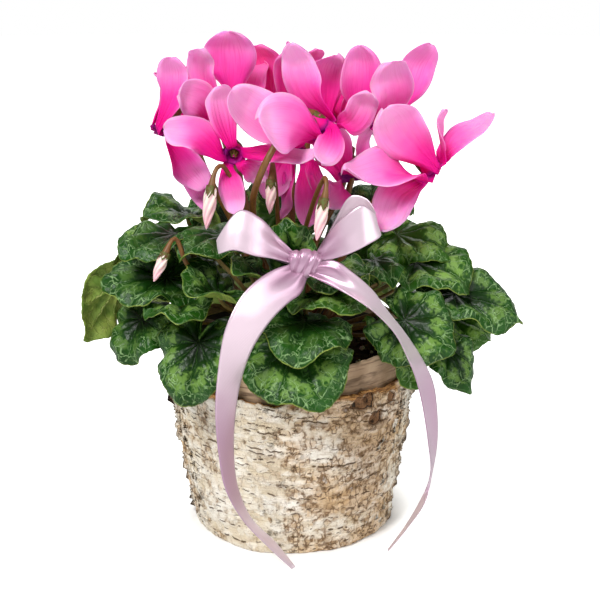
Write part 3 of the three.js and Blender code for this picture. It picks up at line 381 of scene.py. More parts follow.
look = bark.mix(bark.span(bark.fact("dash"), 0.1, 0.6, 0, 0.9), look, "#4f3a24")
look = bark.mix(bark.span(bark.fact("crack"), 0.25, 0.8, 0, 0.95), look, "#33231a")
swirl = bark.times(bark.fact("scar"), 17.0, bark.times(mottle, 9.0))
swirl = bark.times(bark.maths("SINE", swirl), 0.25, specks)
healed = bark.mix(bark.span(swirl, 0.3, 0.75), "#1c120b", "#8a6442")
look = bark.mix(bark.span(bark.fact("scar"), 0.05, 0.8, 0, 0.95), look, healed)
bark.give("Base Color", look)
relief = bark.times(specks, 0.9, bark.times(fibres, 0.7))
relief = bark.times(scaly, -0.5, relief)
relief = bark.times(furrows, -0.8, relief)
bark.bump(bark.times(mottle, 0.7, relief), 0.7, 0.9)


def sheet_rim(rows, columns):
    """The points along the edge of a sheet of rows, in order."""
    last = (rows - 1) * columns
    rim = list(range(columns - 1)) + [r * columns + columns - 1 for r in range(rows - 1)]
    return (rim + [last + c for c in range(columns - 1, 0, -1)]
            + [r * columns for r in range(rows - 1, 0, -1)])


def flake(heading, foot, wide, tall, lift, tone, dark, rows=7, columns=6):
    """A curled sheet of bark that still holds by one upright edge; `wide` below 0 turns it round."""
    s, t = np.meshgrid(np.linspace(0, 1, columns), np.linspace(-1, 1, rows))
    uneven = 1 + 0.3 * np.sin(5 * t + 7 * heading)
    ragged = 1 + 0.35 * np.sin(9 * t + 3 * heading) + 0.2 * np.sin(23 * t)
    a = heading + s * wide * ragged / BARK_RADIUS
    high = np.clip(foot + t * tall * uneven * (1 - 0.4 * s), 0.4, None)
    base = outer_radius(high) + PLANTER["relief"] * wobble(a, high, 1.7)
    out = base + 0.2 + lift * s**2 * (0.7 + 0.3 * np.sin(7 * t)) - 0.6 * (1 - s)
    top = wheel(out, a, high).reshape(-1, 3)
    bottom = wheel(out - 0.35, a, high).reshape(-1, 3)
    n = rows * columns
    rim = sheet_rim(rows, columns)
    sheet_faces = band(rows, columns, closed=False)
    faces = sheet_faces + [tuple(n + i for i in reversed(f)) for f in sheet_faces]
    faces += [(a, n + a, n + b, b) for a, b in zip(rim, rim[1:] + rim[:1])]
    worn = np.concatenate([dark * s.ravel() ** 2, np.maximum(dark, 0.35) + 0 * s.ravel()])
    facts = dict(stain=np.full(2 * n, tone), plate=np.full(2 * n, 0.8), crack=worn)
    return dict(points=np.vstack([top, bottom]), faces=faces, look=bark, facts=facts)


# Curled flakes that the white layers leave where they tear, thickest at the two sides: headings
# in degrees, and how often each is drawn.
FLAKE_COUNT = 190
FLAKE_SIDES = [-18, -30, 195, 203, -150, 20, 60, 110, 150, -95]
FLAKE_ODDS = [0.16, 0.1, 0.18, 0.1, 0.1, 0.08, 0.08, 0.08, 0.07, 0.05]
chance = np.random.default_rng(41)
flakes = []
for count in range(FLAKE_COUNT):
    side = chance.choice(FLAKE_SIDES, p=FLAKE_ODDS)
    wide = chance.uniform(1.2, 4.5) * (1 if count % 2 else -1)
    heading = math.radians(side + chance.normal(0, 7))
    flakes.append(flake(heading, chance.uniform(3, 96), wide, chance.uniform(1, 4),
                        chance.uniform(0.4, 2.2), chance.uniform(-0.2, 0.7), 0.3))
# Larger flaps: the sleeve's open seam at the left, and torn sheets elsewhere. Each has a heading
# in degrees, a height, how wide and tall it is, its lift, and how dark it is.
FLAPS = ((193, 84, -7, 15, 4.5, 0.9), (196, 60, -4, 9, 2.5, 0.5), (190, 30, -4, 12, 2.6, 0.6),
         (189, 9, -4, 7, 3.2, 0.9), (-14, 60, 4, 16, 2.2, 0.7), (-19, 30, 4, 12, 2.2, 0.6),
         (-10, 86, 4, 9, 2.4, 0.5), (100, 66, 7, 20, 3.6, 0.5), (60, 30, -5, 18, 3, 0.5),
         (140, 40, 5, 15, 3, 0.6))
for heading, foot, wide, tall, lift, dark in FLAPS:
    flakes.append(flake(math.radians(heading), foot, wide, tall, lift, 0.3, dark, 22, 9))
piece("bark_sleeve", ["bark_outer"],
      [dict(points=bark_points, faces=bark_faces, look=bark, facts=bark_facts)] + flakes)


# ---- inner bark
# A second strip of birch bark, turned brown side out. It stands inside the sleeve, shows above
# it as a collar, and is held by the pot that is pushed into it.
def inner_radius(z):
    return outer_radius(z) - PLANTER["wall"] - WALL_GAP


COLLAR_TURNS = 480
COLLAR_LEVELS = 60
COLLAR_FOOT = 0.6
around = np.arange(COLLAR_TURNS) * CIRCLE / COLLAR_TURNS
collar_top = PLANTER["inner_height"] + 1.6 * wobble(around, 0, 2.6)
collar_top += 1.0 * (patches_round(around, 150, 0 * around, 5) - 0.5)
up = np.linspace(0, 1, COLLAR_LEVELS + 1)[:, None]
heights = COLLAR_FOOT + up * (collar_top - COLLAR_FOOT)
turn = np.broadcast_to(around, heights.shape)
ridges = patches_round(turn, 30, heights / 0.9, 6) - 0.5
ridges += 0.8 * (patches_round(turn, 14, heights / 2.6, 7) - 0.5)


def collar_inside(z):
    return inner_radius(z) - PLANTER["inner_wall"]


collar_points = np.vstack([
    wheel(inner_radius(heights) + 0.35 * ridges - 0.1, turn, heights).reshape(-1, 3),
    wheel(inner_radius(collar_top) - 0.8, around, collar_top + 0.25),
    wheel(collar_inside(collar_top), around, collar_top - 0.4),
    wheel(collar_inside(0 * around), around, 0 * around + COLLAR_FOOT),
])
collar_faces = closed_wall(COLLAR_LEVELS + 4, COLLAR_TURNS)
collar_facts = dict(line=np.concatenate([ridges.ravel(), np.zeros(3 * COLLAR_TURNS)]))
collar = Finish("bark_inside", Roughness=0.8, Specular_IOR_Level=0.25)
lines = collar.noise(1.0, 4, collar.stretch(60, 60, 900))
patches = collar.noise(60, 4)
look = collar.mix(collar.span(patches, 0.3, 0.7), "#9f8467", "#c9ae90")
look = collar.mix(collar.span(lines, 0.5, 0.7, 0, 0.75), look, "#5f4737")
look = collar.mix(collar.span(collar.fact("line"), -0.15, -0.5, 0, 0.6), look, "#4b382b")
collar.give("Base Color", look)
collar.bump(lines, 0.5, 0.8)
piece("bark_collar", ["bark_inner"],
      [dict(points=collar_points, faces=collar_faces, look=collar, facts=collar_facts)])


# ---- liner
# The thin cup of dark plastic that keeps the bark dry, moulded with a rolled rim. It is pushed
# into the bark collar, and its closed floor stands on the table.
def turned(profile, sides, place=None, axis=(0, 0, 1)):
    """A lathed piece from (radius, height) pairs that starts and ends on its axis."""
    a = np.arange(sides) * CIRCLE / sides
    rows = [wheel(r, a, z) for r, z in profile[1:-1]]
    points = np.vstack([[(0, 0, profile[0][1])], *rows, [(0, 0, profile[-1][1])]])
    faces = [(0, 1 + (c + 1) % sides, 1 + c) for c in range(sides)]
    faces += band(len(rows), sides, start=1)
    last = 1 + (len(rows) - 1) * sides
    faces += [(last + c, last + (c + 1) % sides, len(points) - 1) for c in range(sides)]
    z = np.array(axis) / np.linalg.norm(axis)
    x = np.cross((0, 1, 0), z) if abs(z[1]) < 0.9 else np.cross((1, 0, 0), z)
    x /= np.linalg.norm(x)
    points = points @ np.array([x, np.cross(z, x), z])
    return points + (0 if place is None else np.array(place)), faces


def liner_radius(z):
    return inner_radius(z) - PLANTER["inner_wall"] - WALL_GAP


LINER = dict(wall=1.6, floor=2.4, height=112)
rim_out = liner_radius(LINER["height"])
profile = [(0, 0), (liner_radius(0) - 1.6, 0), (liner_radius(0) - 0.8, 0.3)]
profile += [(liner_radius(1.5), 1.5)]
profile += [(liner_radius(z), z) for z in (40, 80, LINER["height"] - 1)]
profile += [(rim_out - 0.3, LINER["height"] - 0.2), (rim_out - 0.8, LINER["height"]),
            (rim_out - 1.3, LINER["height"] - 0.2),
            (rim_out - LINER["wall"], LINER["height"] - 1),
            (liner_radius(LINER["floor"]) - LINER["wall"], LINER["floor"]), (0, LINER["floor"])]
plastic = Finish("liner_plastic", Roughness=0.45)
scuffs = plastic.noise(300, 4)
plastic.give("Base Color", plastic.mix(scuffs, "#1d1916", "#37302a"))
plastic.bump(scuffs, 0.15, 0.4)
points, faces = turned(profile, 120)
piece("liner_cup", ["pot_liner"], [dict(points=points, faces=faces, look=plastic)])


# ---- soil
# Peat with white grains of perlite, loose crumbs that are filled in round the tuber and pressed
# down, to a little under the liner's rim.
SOIL = dict(level=103, crown=3, gap=0.35)
SOIL_TURNS = 180
SOIL_RINGS = 46


def lump(place, size, seed):
    """A small rough grain."""
    chance = np.random.default_rng(seed)
    profile = [(0, -1), (0.7, -0.75), (1, -0.1), (0.8, 0.6), (0, 1)]
    points, faces = turned(profile, 7)
    points *= 1 + 0.25 * (chance.random((len(points), 1)) - 0.5)
    return points * size * chance.uniform(0.7, 1.2, 3) + np.array(place), faces


def ground_height(share):
    """The soil's height at a share of the way out: mounded in the middle, sunk at the wall."""
    mound = SOIL["crown"] * smooth((1 - share) * 1.3)
    return SOIL["level"] + mound - 2 * smooth((share - 0.9) * 10)


def clods(far, turn, size, shift, seed):
    """Uneven soil, in patches of a size in mm."""
    x = far * np.cos(turn) / size + shift
    y = far * np.sin(turn) / size + shift
    return patchy(x, y, seed) - 0.5


soil_out = liner_radius(SOIL["level"]) - LINER["wall"] - SOIL["gap"]
rings = np.linspace(0.02, 1, SOIL_RINGS)[:, None]
a = np.arange(SOIL_TURNS) * CIRCLE / SOIL_TURNS
turn = np.broadcast_to(a, (SOIL_RINGS, SOIL_TURNS))
far = rings * soil_out + 0 * turn
ground = ground_height(rings) + 1.8 * clods(far, turn, 3, 60, 61)
ground += 1.1 * clods(far, turn, 1.3, 99, 62)
low = LINER["floor"] + SOIL["gap"]
soil_low = liner_radius(low) - LINER["wall"] - SOIL["gap"]
points = np.vstack([[(0, 0, ground[0].mean())], wheel(far, turn, ground).reshape(-1, 3),
                    wheel(soil_low, a, low + 0 * a), [(0, 0, low)]])
faces = [(0, 1 + c, 1 + (c + 1) % SOIL_TURNS) for c in range(SOIL_TURNS)]
faces += [tuple(reversed(f)) for f in band(SOIL_RINGS + 1, SOIL_TURNS, start=1)]
last = 1 + SOIL_RINGS * SOIL_TURNS
faces += [(last + (c + 1) % SOIL_TURNS, last + c, len(points) - 1) for c in range(SOIL_TURNS)]
peat = Finish("peat", Roughness=0.95, Specular_IOR_Level=0.2)
crumbs = peat.noise(500, 5)
peat.give("Base Color", peat.mix(peat.span(crumbs, 0.35, 0.7), "#1a120c", "#4a3423"))
peat.bump(crumbs, 1.2, 1.0)
perlite = Finish("perlite", Base_Color="#d9d4c8", Roughness=0.9)
perlite.bump(perlite.noise(1500, 3), 0.3, 0.8)
soil_parts = [dict(points=points, faces=faces, look=peat)]
# Loose crumbs on the top; every third is a grain of perlite.
CRUMB_COUNT = 150
chance = np.random.default_rng(63)
for seed in range(CRUMB_COUNT):
    r = soil_out * math.sqrt(chance.uniform(0.2, 0.9))
    a = chance.uniform(0, CIRCLE)
    place = (r * math.cos(a), r * math.sin(a), float(ground_height(r / soil_out)) + 0.5)
    look = perlite if seed % 3 == 0 else peat
    points, faces = lump(place, chance.uniform(0.8, 2.0), seed)
    soil_parts.append(dict(points=points, faces=faces, look=look))
piece("peat_bed", ["soil"], soil_parts)


# ---- tuber
# The plant's flattened corky tuber, half sunk in the soil and held by it. All the stalks spring
# from the dished crown on its top.
TUBER = dict(radius=31, top=111, bottom=90, dish=26, socket=5)
profile = [(0, TUBER["bottom"])]
profile += [(r, TUBER["bottom"] + rise) for r, rise in ((14, 0.4), (20, 1.2), (26, 4), (29.4, 6))]
profile += [(TUBER["radius"] - step, TUBER["bottom"] + rise)
            for step, rise in ((0, 9), (0, 12), (0.8, 15))]
profile += [(TUBER["dish"] + step, TUBER["top"] - drop)
            for step, drop in ((2.6, 2.6), (1.6, 0.4), (0.6, 0), (-0.1, 0.8), (-0.8, 4))]
profile += [(r, TUBER["top"] - TUBER["socket"]) for r in (TUBER["dish"] - 4, 0)]
points, faces = turned(profile, 90)
around = np.arctan2(points[:, 1], points[:, 0])
below_rim = points[:, 2] < TUBER["top"] - 1
shrink = 1 - 0.03 * patchy(around * 40 / CIRCLE + 80, points[:, 2] / 2.5, 71) * below_rim
points[:, :2] *= shrink[:, None]
cork = Finish("tuber_cork", Roughness=0.9, Specular_IOR_Level=0.2)
rough = cork.noise(260, 5)
cork.give("Base Color", cork.mix(cork.span(rough, 0.35, 0.7), "#2c2017", "#7a604a"))
cork.bump(rough, 1.2, 1.0)
piece("tuber_crown", ["tuber"], [dict(points=points, faces=faces, look=cork)])


# ---- leaves
# Heart-shaped blades on long stalks, each grown from the crown. The blades are waxy, toothed at
# the edge, dark green with a broken ring of silver, with pale veins and an olive underside.
STANDING = TUBER["top"] - TUBER["socket"] + 0.35
# Each leaf has the point where its stalk meets the blade, the blade's tip, the way it faces, and
# where its stalk stands in the crown: how far out, and its heading in degrees. The rest bends it.
LEAVES = [
    dict(name="leaf_front_low", at=(0, -67, 128), tip=(18, -93, 105), face=(0, -0.7, 0.7),
         broad=1.05, droop=0.35, cup=-0.35, root=(22.6, 277)),
    dict(name="leaf_front_mid", node="leaves_front", at=(8, -61, 141), tip=(-1, -93, 131),
         face=(0.1, -0.5, 0.9), droop=0.5, cup=0.2, wave=3,
         bends=((8, -30, 138), (8, -44, 146)), root=(19, 290)),
    dict(name="leaf_front_upper", node="leaves_front", at=(18, -48, 154), tip=(33, -78, 153),
         face=(0, -0.5, 0.9), cup=0.4, root=(19, 290)),
    dict(name="leaf_under_knot", at=(16, -40, 163), tip=(32, -70, 164), face=(0, -0.3, 0.95),
         broad=0.85, cup=0.1, root=(15.5, 290)),
    dict(name="leaf_cup_left", at=(-38, -60, 156), tip=(-51, -84, 169), face=(0.3, -0.2, 0.9),
         cup=1.1, droop=-0.6, root=(22.6, 262)),
    dict(name="leaf_cup_middle", at=(-16, -56, 164), tip=(-29, -76, 178),
         face=(0.3, -0.3, 0.9), broad=0.75, cup=0.8, droop=-0.3,
         bends=((-8, -24, 140), (-12, -36, 155)), root=(15.5, 258)),
    dict(name="leaf_left_shelf", node="leaves_left_front", at=(-60, -46, 146),
         tip=(-58, -80, 149), face=(-0.1, -0.3, 0.95), cup=0.3, droop=0.3, broad=0.85,
         root=(20, 243)),
    dict(name="leaf_left_front", node="leaves_left_front", at=(-50, -63, 130),
         tip=(-57, -78, 99), face=(-0.3, -0.8, 0.4), broad=0.95, cup=-0.4, root=(20, 243)),
    dict(name="leaf_left_low", at=(-85, -34, 134), tip=(-95, -47, 112), face=(-0.5, -0.7, 0.4),
         root=(22.6, 215)),
    dict(name="leaf_left_edge", at=(-70, -36, 159), tip=(-104, -44, 156),
         face=(-0.2, -0.6, 0.8), broad=0.85, droop=0.3, cup=0.5, root=(19, 210)),
    dict(name="leaf_left_hanging", node="leaves_left_back", at=(-101, -12, 148),
         tip=(-118, -24, 119), face=(-0.5, 0.75, 0.3), broad=0.72, droop=0.4, cup=0.4,
         root=(19, 176)),
    dict(name="leaf_left_mid", at=(-65, -28, 182), tip=(-92, -52, 176),
         face=(-0.3, -0.4, 0.85), broad=0.78, cup=0.1, droop=0.5, root=(15.5, 205)),
    dict(name="leaf_left_silver", node="leaves_bow", at=(-36, -40, 184), tip=(-60, -64, 179),
         face=(-0.3, -0.5, 0.8), broad=0.75, root=(15.5, 240)),
    dict(name="leaf_left_top", node="leaves_left_top", at=(-60, 8, 184), tip=(-85, -10, 186),
         face=(-0.4, -0.4, 0.8), wave=4, cup=0.7, droop=0.7, root=(15.5, 150)),
    dict(name="leaf_right_big", node="leaves_right_big", at=(61, -62, 142), tip=(86, -73, 129),
         face=(0.1, -0.85, 0.5), broad=1.1, droop=0.5, cup=-0.5, root=(22.6, 300)),
    dict(name="leaf_right_under", node="leaves_right_big", at=(56, -45, 127),
         tip=(67, -60, 103), face=(0.7, -0.6, 0.3), broad=0.6, root=(22.6, 300)),
    dict(name="leaf_right_far", at=(92, -28, 147), tip=(132, -32, 134),
         face=(0.15, -0.5, 0.85), broad=0.68, cup=0.6, root=(19, 340)),
    dict(name="leaf_right_low", node="leaves_right_low", at=(92, -12, 129),
         tip=(118, -14, 117), face=(0.4, -0.5, 0.7), root=(22.6, 335)),
    dict(name="leaf_right_small", node="leaves_right_low", at=(86, -42, 121),
         tip=(99, -50, 97), face=(0.5, -0.8, 0.3), broad=0.75,
         bends=((44, -18, 124), (66, -30, 130)), root=(22.6, 335)),
    dict(name="leaf_right_mid", at=(70, -22, 164), tip=(102, -36, 154), face=(0.35, -0.5, 0.8),
         broad=0.9, cup=0.5, droop=0.7, root=(19, 322)),
    dict(name="leaf_right_silver", at=(60, -14, 178), tip=(92, -24, 170),
         face=(-0.1, -0.5, 0.85), broad=0.7, cup=-0.6, droop=0.8, wave=3.4, root=(15.5, 330)),
    dict(name="leaf_right_top", node="leaves_right_top", at=(46, 20, 186), tip=(74, 18, 189),
         face=(0.1, -0.4, 0.9), cup=0.5, bends=((22, 17, 150), (35, 25, 176)), root=(15.5, 33)),
    dict(name="leaf_bow_right", at=(46, -36, 169), tip=(56, -56, 163), face=(0.1, -0.5, 0.85),
         broad=0.75, bends=((20, -10, 140), (34, -16, 160)), root=(15.5, 308)),
    dict(name="leaf_bow_middle", node="leaves_bow", at=(0, -38, 170), tip=(-3, -48, 194),
         face=(0, -0.9, 0.3), broad=0.75, root=(15.5, 240)),
    dict(name="leaf_back_low_a", at=(62, 44, 130), tip=(84, 62, 106), face=(0.5, 0.5, 0.6),
         root=(22.6, 30)),
    dict(name="leaf_back_low_b", node="leaves_back_low", at=(24, 70, 130), tip=(34, 98, 108),
         face=(0.1, 0.7, 0.6), broad=0.95, root=(22.6, 90)),
    dict(name="leaf_back_low_c", node="leaves_back_low", at=(-36, 66, 131), tip=(-50, 90, 108),
         face=(-0.3, 0.7, 0.6), broad=0.95, root=(22.6, 90)),
    dict(name="leaf_back_low_d", node="leaves_back_left", at=(-72, 34, 131),
         tip=(-98, 48, 110), face=(-0.6, 0.4, 0.6), root=(20, 142)),
    dict(name="leaf_back_mid_a", node="leaves_back_right", at=(70, 16, 159),
         tip=(108, 26, 155), face=(0.3, 0.1, 0.9), root=(19, 25)),
    dict(name="leaf_back_mid_b", node="leaves_back_right", at=(41, 43, 152), tip=(58, 56, 174),
         face=(0.2, -0.6, 0.7), bends=((24, 20, 132), (34, 35, 143)), root=(19, 25)),
    dict(name="leaf_back_mid_c", at=(-4, 64, 157), tip=(-8, 104, 150), face=(0, 0.4, 0.9),
         root=(19, 90)),
    dict(name="leaf_back_mid_d", node="leaves_back_left", at=(-48, 46, 148),
         tip=(-80, 70, 142), face=(-0.3, 0.4, 0.9), root=(20, 142)),
    dict(name="leaf_back_mid_e", node="leaves_left_back", at=(-70, 26, 165),
         tip=(-108, 42, 167), face=(-0.3, 0.2, 0.9), broad=0.85, root=(19, 176)),
    dict(name="leaf_back_top_a", node="leaves_right_top", at=(24, 46, 174), tip=(40, 76, 174),
         face=(0.2, 0.3, 0.9), root=(15.5, 33)),
    dict(name="leaf_back_top_b", at=(-10, 47, 177), tip=(-16, 64, 202), face=(0, -0.7, 0.7),
         broad=0.85, root=(15.5, 95)),
    dict(name="leaf_back_top_c", node="leaves_left_top", at=(-38, 44, 170), tip=(-58, 62, 189),
         face=(-0.2, -0.4, 0.9), root=(15.5, 150)),
]


def unit(v):
    v = np.asarray(v, float)
    return v / np.linalg.norm(v, axis=-1, keepdims=True)


def crown(root, z):
    a = math.radians(root[1])
    return (root[0] * math.cos(a), root[0] * math.sin(a), z)


def rooted(root, rise):
    """A stalk's first two points: its foot in the crown, and one straight above it."""
    return [crown(root, STANDING), crown(root, TUBER["top"] + rise)]


def hook(path, end, way, least):
    """The bend at a stalk's top: from its last two points round to an end entered along `way`."""
    last = np.array(path[-1], float)
    reach = max(least, 0.75 * np.linalg.norm(end - last))
    rising = last + unit(last - np.array(path[-2])) * reach
    falling = end - way * reach
    t = np.array([0.28, 0.55, 0.8])[:, None]
    inner = 3 * (1 - t) ** 2 * t * rising + 3 * (1 - t) * t**2 * falling
    return list((1 - t) ** 3 * last + inner + t**3 * end)


class Run:
    """A smooth line through points, read at shares of its length."""

    def __init__(self, points):
        p = np.array([2 * np.array(points[0], float) - points[1], *points,
                      2 * np.array(points[-1], float) - points[-2]])
        t = np.linspace(0, 1, 60)[:, None]
        line = [p[1][None]]
        for a, b, c, d in zip(p, p[1:], p[2:], p[3:]):
            before, here, after = (np.linalg.norm(v) ** 0.5 for v in (b - a, c - b, d - c))
            leave = ((b - a) / before - (c - a) / (before + here) + (c - b) / here) * here
            meet = ((c - b) / here - (d - b) / (here + after) + (d - c) / after) * here
            cube = 2 * b - 2 * c + leave + meet
            square = 3 * c - 3 * b - 2 * leave - meet
            line.append((b + leave * t + square * t**2 + cube * t**3)[1:])
        self.line = np.vstack(line)
        steps = np.linalg.norm(np.diff(self.line, axis=0), axis=1)
        self.far = np.concatenate([[0], np.cumsum(steps)])
        self.length = self.far[-1]

    def at(self, share):
        far = np.asarray(share) * self.length
        return np.stack([np.interp(far, self.far, self.line[:, k]) for k in range(3)], axis=-1)

    def way(self, share):
        share = np.asarray(share)
        return unit(self.at(np.clip(share + 0.004, 0, 1)) - self.at(np.clip(share - 0.004, 0, 1)))


def rod(points, sides, share, radius, twist=0.0, ripple=0.0):
    """A round stalk along points, with a radius at each share of its length, and its facts."""
    line = Run(points)
    middle = line.at(share)
    way = line.way(share)
    across = np.array([1.0, 0, 0])
    rings = []
    for k, along in enumerate(way):
        across = unit(across - along * (across @ along))
        a = np.arange(sides) * CIRCLE / sides
        r = radius[k] * (1 + ripple * np.cos(5 * a))
        a = a + twist * share[k]
        spokes = np.outer(r * np.cos(a), across) + np.outer(r * np.sin(a), np.cross(along, across))
        rings.append(middle[k] + spokes)
    points = np.vstack([*rings, middle[0], middle[-1]])
    faces = band(len(share), sides)
    faces += [(len(points) - 2, (c + 1) % sides, c) for c in range(sides)]
    last = (len(share) - 1) * sides
    faces += [(last + c, last + (c + 1) % sides, len(points) - 1) for c in range(sides)]
    along = np.concatenate([np.repeat(share, sides), [0, 1]])
    height = points[:, 2] - TUBER["top"]
    return points, faces, dict(along=along, low=np.exp(-np.clip(height, 0, None) / 35))


def shell(points, faces, rim, above, below):
    """A thin closed piece about a middle surface, with its upper side first."""
    normal = np.zeros_like(points)
    for face in faces:
        a, b, c = points[face[0]], points[face[1]], points[face[2]]
        push = np.cross(b - a, c - a)
        for i in face:
            normal[i] += push
    normal = unit(normal + 1e-12)
    n = len(points)
    both = np.vstack([points + normal * above[:, None], points - normal * below[:, None]])
    both_faces = faces + [tuple(n + i for i in reversed(face)) for face in faces]
    both_faces += [(a, n + a, n + b, b) for a, b in zip(rim, rim[1:] + rim[:1])]
    return both, both_faces


def leaf_reach(angle, seed):
    """A leaf's outline: how far its edge is from the stalk, with a notch behind and a blunt tip."""
    a = np.abs(angle)
    rounded = 0.79 + 0.21 * np.cos(a) ** 2 * np.where(a < np.pi / 2, 1, -0.25)
    notch = smooth((np.pi - a) / 0.42)
    tip = 0.1 * np.exp(-((a / 0.22) ** 2))
    scallop = 0.018 * np.sin(11 * angle + seed) + 0.022 * np.sin(5 * angle + 2 * seed)
    return (rounded + tip + scallop) * (0.12 + 0.88 * notch)


LEAF_SPOKES = 144
LEAF_RINGS = 20
LEAF_TEETH = 21
LEAF_FOLD = 0.12
LEAF_WAVES = 5
MAIN_VEINS = 9


def grow_leaf(row):
    """One leaf's parts: the blade, and its stalk from the crown into the back of the blade."""
    leaf = dict(broad=1, droop=0.5, cup=-0.3, wave=2.8)
    leaf.update(row)
    seed = row["tip"][0] + row["tip"][2]
    at = np.array(leaf["at"], float)
    chord = np.array(leaf["tip"]) - at
    half = leaf["droop"] / 2
    length = np.linalg.norm(chord) / (math.sin(half) / half if abs(half) > 0.01 else 1) / 1.08
    chord = unit(chord)
    facing = np.array(leaf["face"], float)
    facing = unit(facing - chord * (facing @ chord))
    x = chord * math.cos(half) + facing * math.sin(half)
    z = facing * math.cos(half) - chord * math.sin(half)
    y = np.cross(z, x)

    def surface(share, angle):
        tooth = 0.016 * np.abs(np.sin(LEAF_TEETH * angle)) ** 0.8 * share**10
        out = share * (leaf_reach(angle, seed) + tooth) * length
        u = out * np.cos(angle)
        v = out * np.sin(angle) * leaf["broad"]
        rise = LEAF_FOLD * np.abs(v) * np.exp(-np.abs(v) / length)
        waves = np.sin(LEAF_WAVES * angle + seed)
        waves = waves + 0.5 * np.sin((LEAF_WAVES + 3) * angle + 2 * seed)
        rise = rise + leaf["wave"] * share**2 * waves
        # The blade swells between its veins, and its rim is frilled and rolls down.
        swell = np.abs(np.sin(MAIN_VEINS / 2 * angle))
        swell = swell * smooth(share * 2.2) * smooth((1.08 - share) * 3)
        rise = rise + 0.055 * length * (swell - 0.5) * smooth(share * 2)
        pucker = patchy(u / 5 + 40 + seed % 9, v / 5 + 60, 81)
        pucker = pucker + 0.5 * patchy(u / 2.4 + 40, v / 2.4 + 60, 82)
        rise = rise + 1.5 * (pucker - 0.75) * smooth(share * 2)
        rise = rise + 0.9 * share**3 * np.sin(13 * angle + 2 * seed)
        roll = 0.03 + 0.05 * (0.5 + 0.5 * math.sin(3.1 * seed))
        rise = rise - roll * length * smooth((share - 0.78) / 0.22) ** 1.5
        across, up = v, rise
        if abs(leaf["cup"]) > 0.01:
            bent = leaf["cup"] * v / length
            across = length * np.sin(bent) / leaf["cup"] - rise * np.sin(bent)
            up = length * (1 - np.cos(bent)) / leaf["cup"] + rise * np.cos(bent)
        along = u
        if abs(leaf["droop"]) > 0.01:
            bent = leaf["droop"] * u / length
            centre = length / leaf["droop"]
            along = centre * np.sin(bent) + up * np.sin(bent)
            up = up * np.cos(bent) - centre * (1 - np.cos(bent))
        placed = np.multiply.outer(along, x) + np.multiply.outer(across, y)
        return at + placed + np.multiply.outer(up, z), u, v

    share = (np.arange(LEAF_RINGS) + 1)[:, None] / LEAF_RINGS
    angle = -np.pi + np.arange(LEAF_SPOKES)[None] * CIRCLE / LEAF_SPOKES
    placed, u, v = surface(share, angle)
    points = np.vstack([at, placed.reshape(-1, 3)])
    faces = [(0, 1 + c, 1 + (c + 1) % LEAF_SPOKES) for c in range(LEAF_SPOKES)]
    faces += [tuple(reversed(f)) for f in band(LEAF_RINGS, LEAF_SPOKES, start=1)]
    last = 1 + (LEAF_RINGS - 1) * LEAF_SPOKES
    out = np.concatenate([[0], (share + 0 * angle).ravel()])
    spoke = np.concatenate([[0], (angle + 0 * share).ravel()])
    gap = np.abs(np.sin(MAIN_VEINS / 2 * spoke)) / (MAIN_VEINS / 2) * out * length
    vein = np.exp(-((gap / 0.9) ** 2)) * smooth((1.1 - out) * 3)
    thick = 0.34 * (1.25 - 0.7 * out)
    above = thick - 0.28 * vein * smooth(out * 6)
    below = thick + 0.32 * vein * (1 - 0.6 * out)
    both, faces = shell(points, faces, list(range(last, last + LEAF_SPOKES)), above, below)
    flat_u = np.concatenate([[0], u.ravel()]) + 7 * seed
    flat_v = np.concatenate([[0], v.ravel()]) + 3 * seed
    facts = dict(out=np.tile(out, 2), spoke=np.tile(spoke, 2), flat_u=np.tile(flat_u, 2),
                 flat_v=np.tile(flat_v, 2), under=np.repeat([0.0, 1.0], len(points)),
                 tone=np.full(2 * len(points), (seed * 0.37) % 1))
    parts = [dict(points=both, faces=faces, look=waxy, facts=facts)]

    foot, start = map(np.array, rooted(leaf["root"], 3))
    rib = surface(np.array([0.55, 0.55]), np.array([-np.pi / 9, np.pi / 9]))[0].mean(axis=0)
    end = at + (rib - at) * 0.2 - z * 0.3
    reach = np.linalg.norm(end - start)
    arrive = end - x * 0.16 * reach - z * 0.12 * reach
    path = [foot, start, *leaf.get("bends", ())]
    if "bends" not in leaf:
        path.append(start + (arrive - start) * 0.4 + (0, 0, 0.06 * reach))
    path += [arrive, end]
    share = np.linspace(0, 1, 40)
    radius = np.interp(share, [0, 0.05, 0.6, 0.97, 1], [1.7, 1.45, 1.25, 1.1, 0.5])
    points, faces, facts = rod(path, 10, share, radius)
    return parts + [dict(points=points, faces=faces, look=petiole, facts=facts)]


waxy = Finish("leaf_blade", Roughness=0.32, Specular_IOR_Level=0.22)
flat = waxy.node("CombineXYZ", waxy.fact("flat_u"), waxy.fact("flat_v"), 0.0).outputs[0]
drift = waxy.noise(0.1, 3, flat)
fine = waxy.noise(0.42, 4, flat)
out = waxy.fact("out")
tone = waxy.fact("tone")
bend = waxy.nudge(waxy.nudge(waxy.fact("spoke"), drift, 0.9), fine, 0.2)


def vein_lines(count, width, begin, finish, edge=1.0):
    """Lines that run out from the stalk at even angles, `count` of them all round."""
    apart = waxy.maths("ABSOLUTE", waxy.maths("SINE", waxy.times(bend, count / 2)))
    apart = waxy.times(waxy.times(apart, out), 90 / count)
    line = waxy.span(apart, width, width * 0.25)
    line = waxy.times(line, waxy.span(out, begin, begin + 0.15))
    return waxy.times(line, waxy.span(out, finish, finish - 0.12, 0, edge))


def most(*values):
    """The greatest of some values."""
    made = values[0]
    for value in values[1:]:
        made = waxy.maths("MAXIMUM", made, value)
    return made


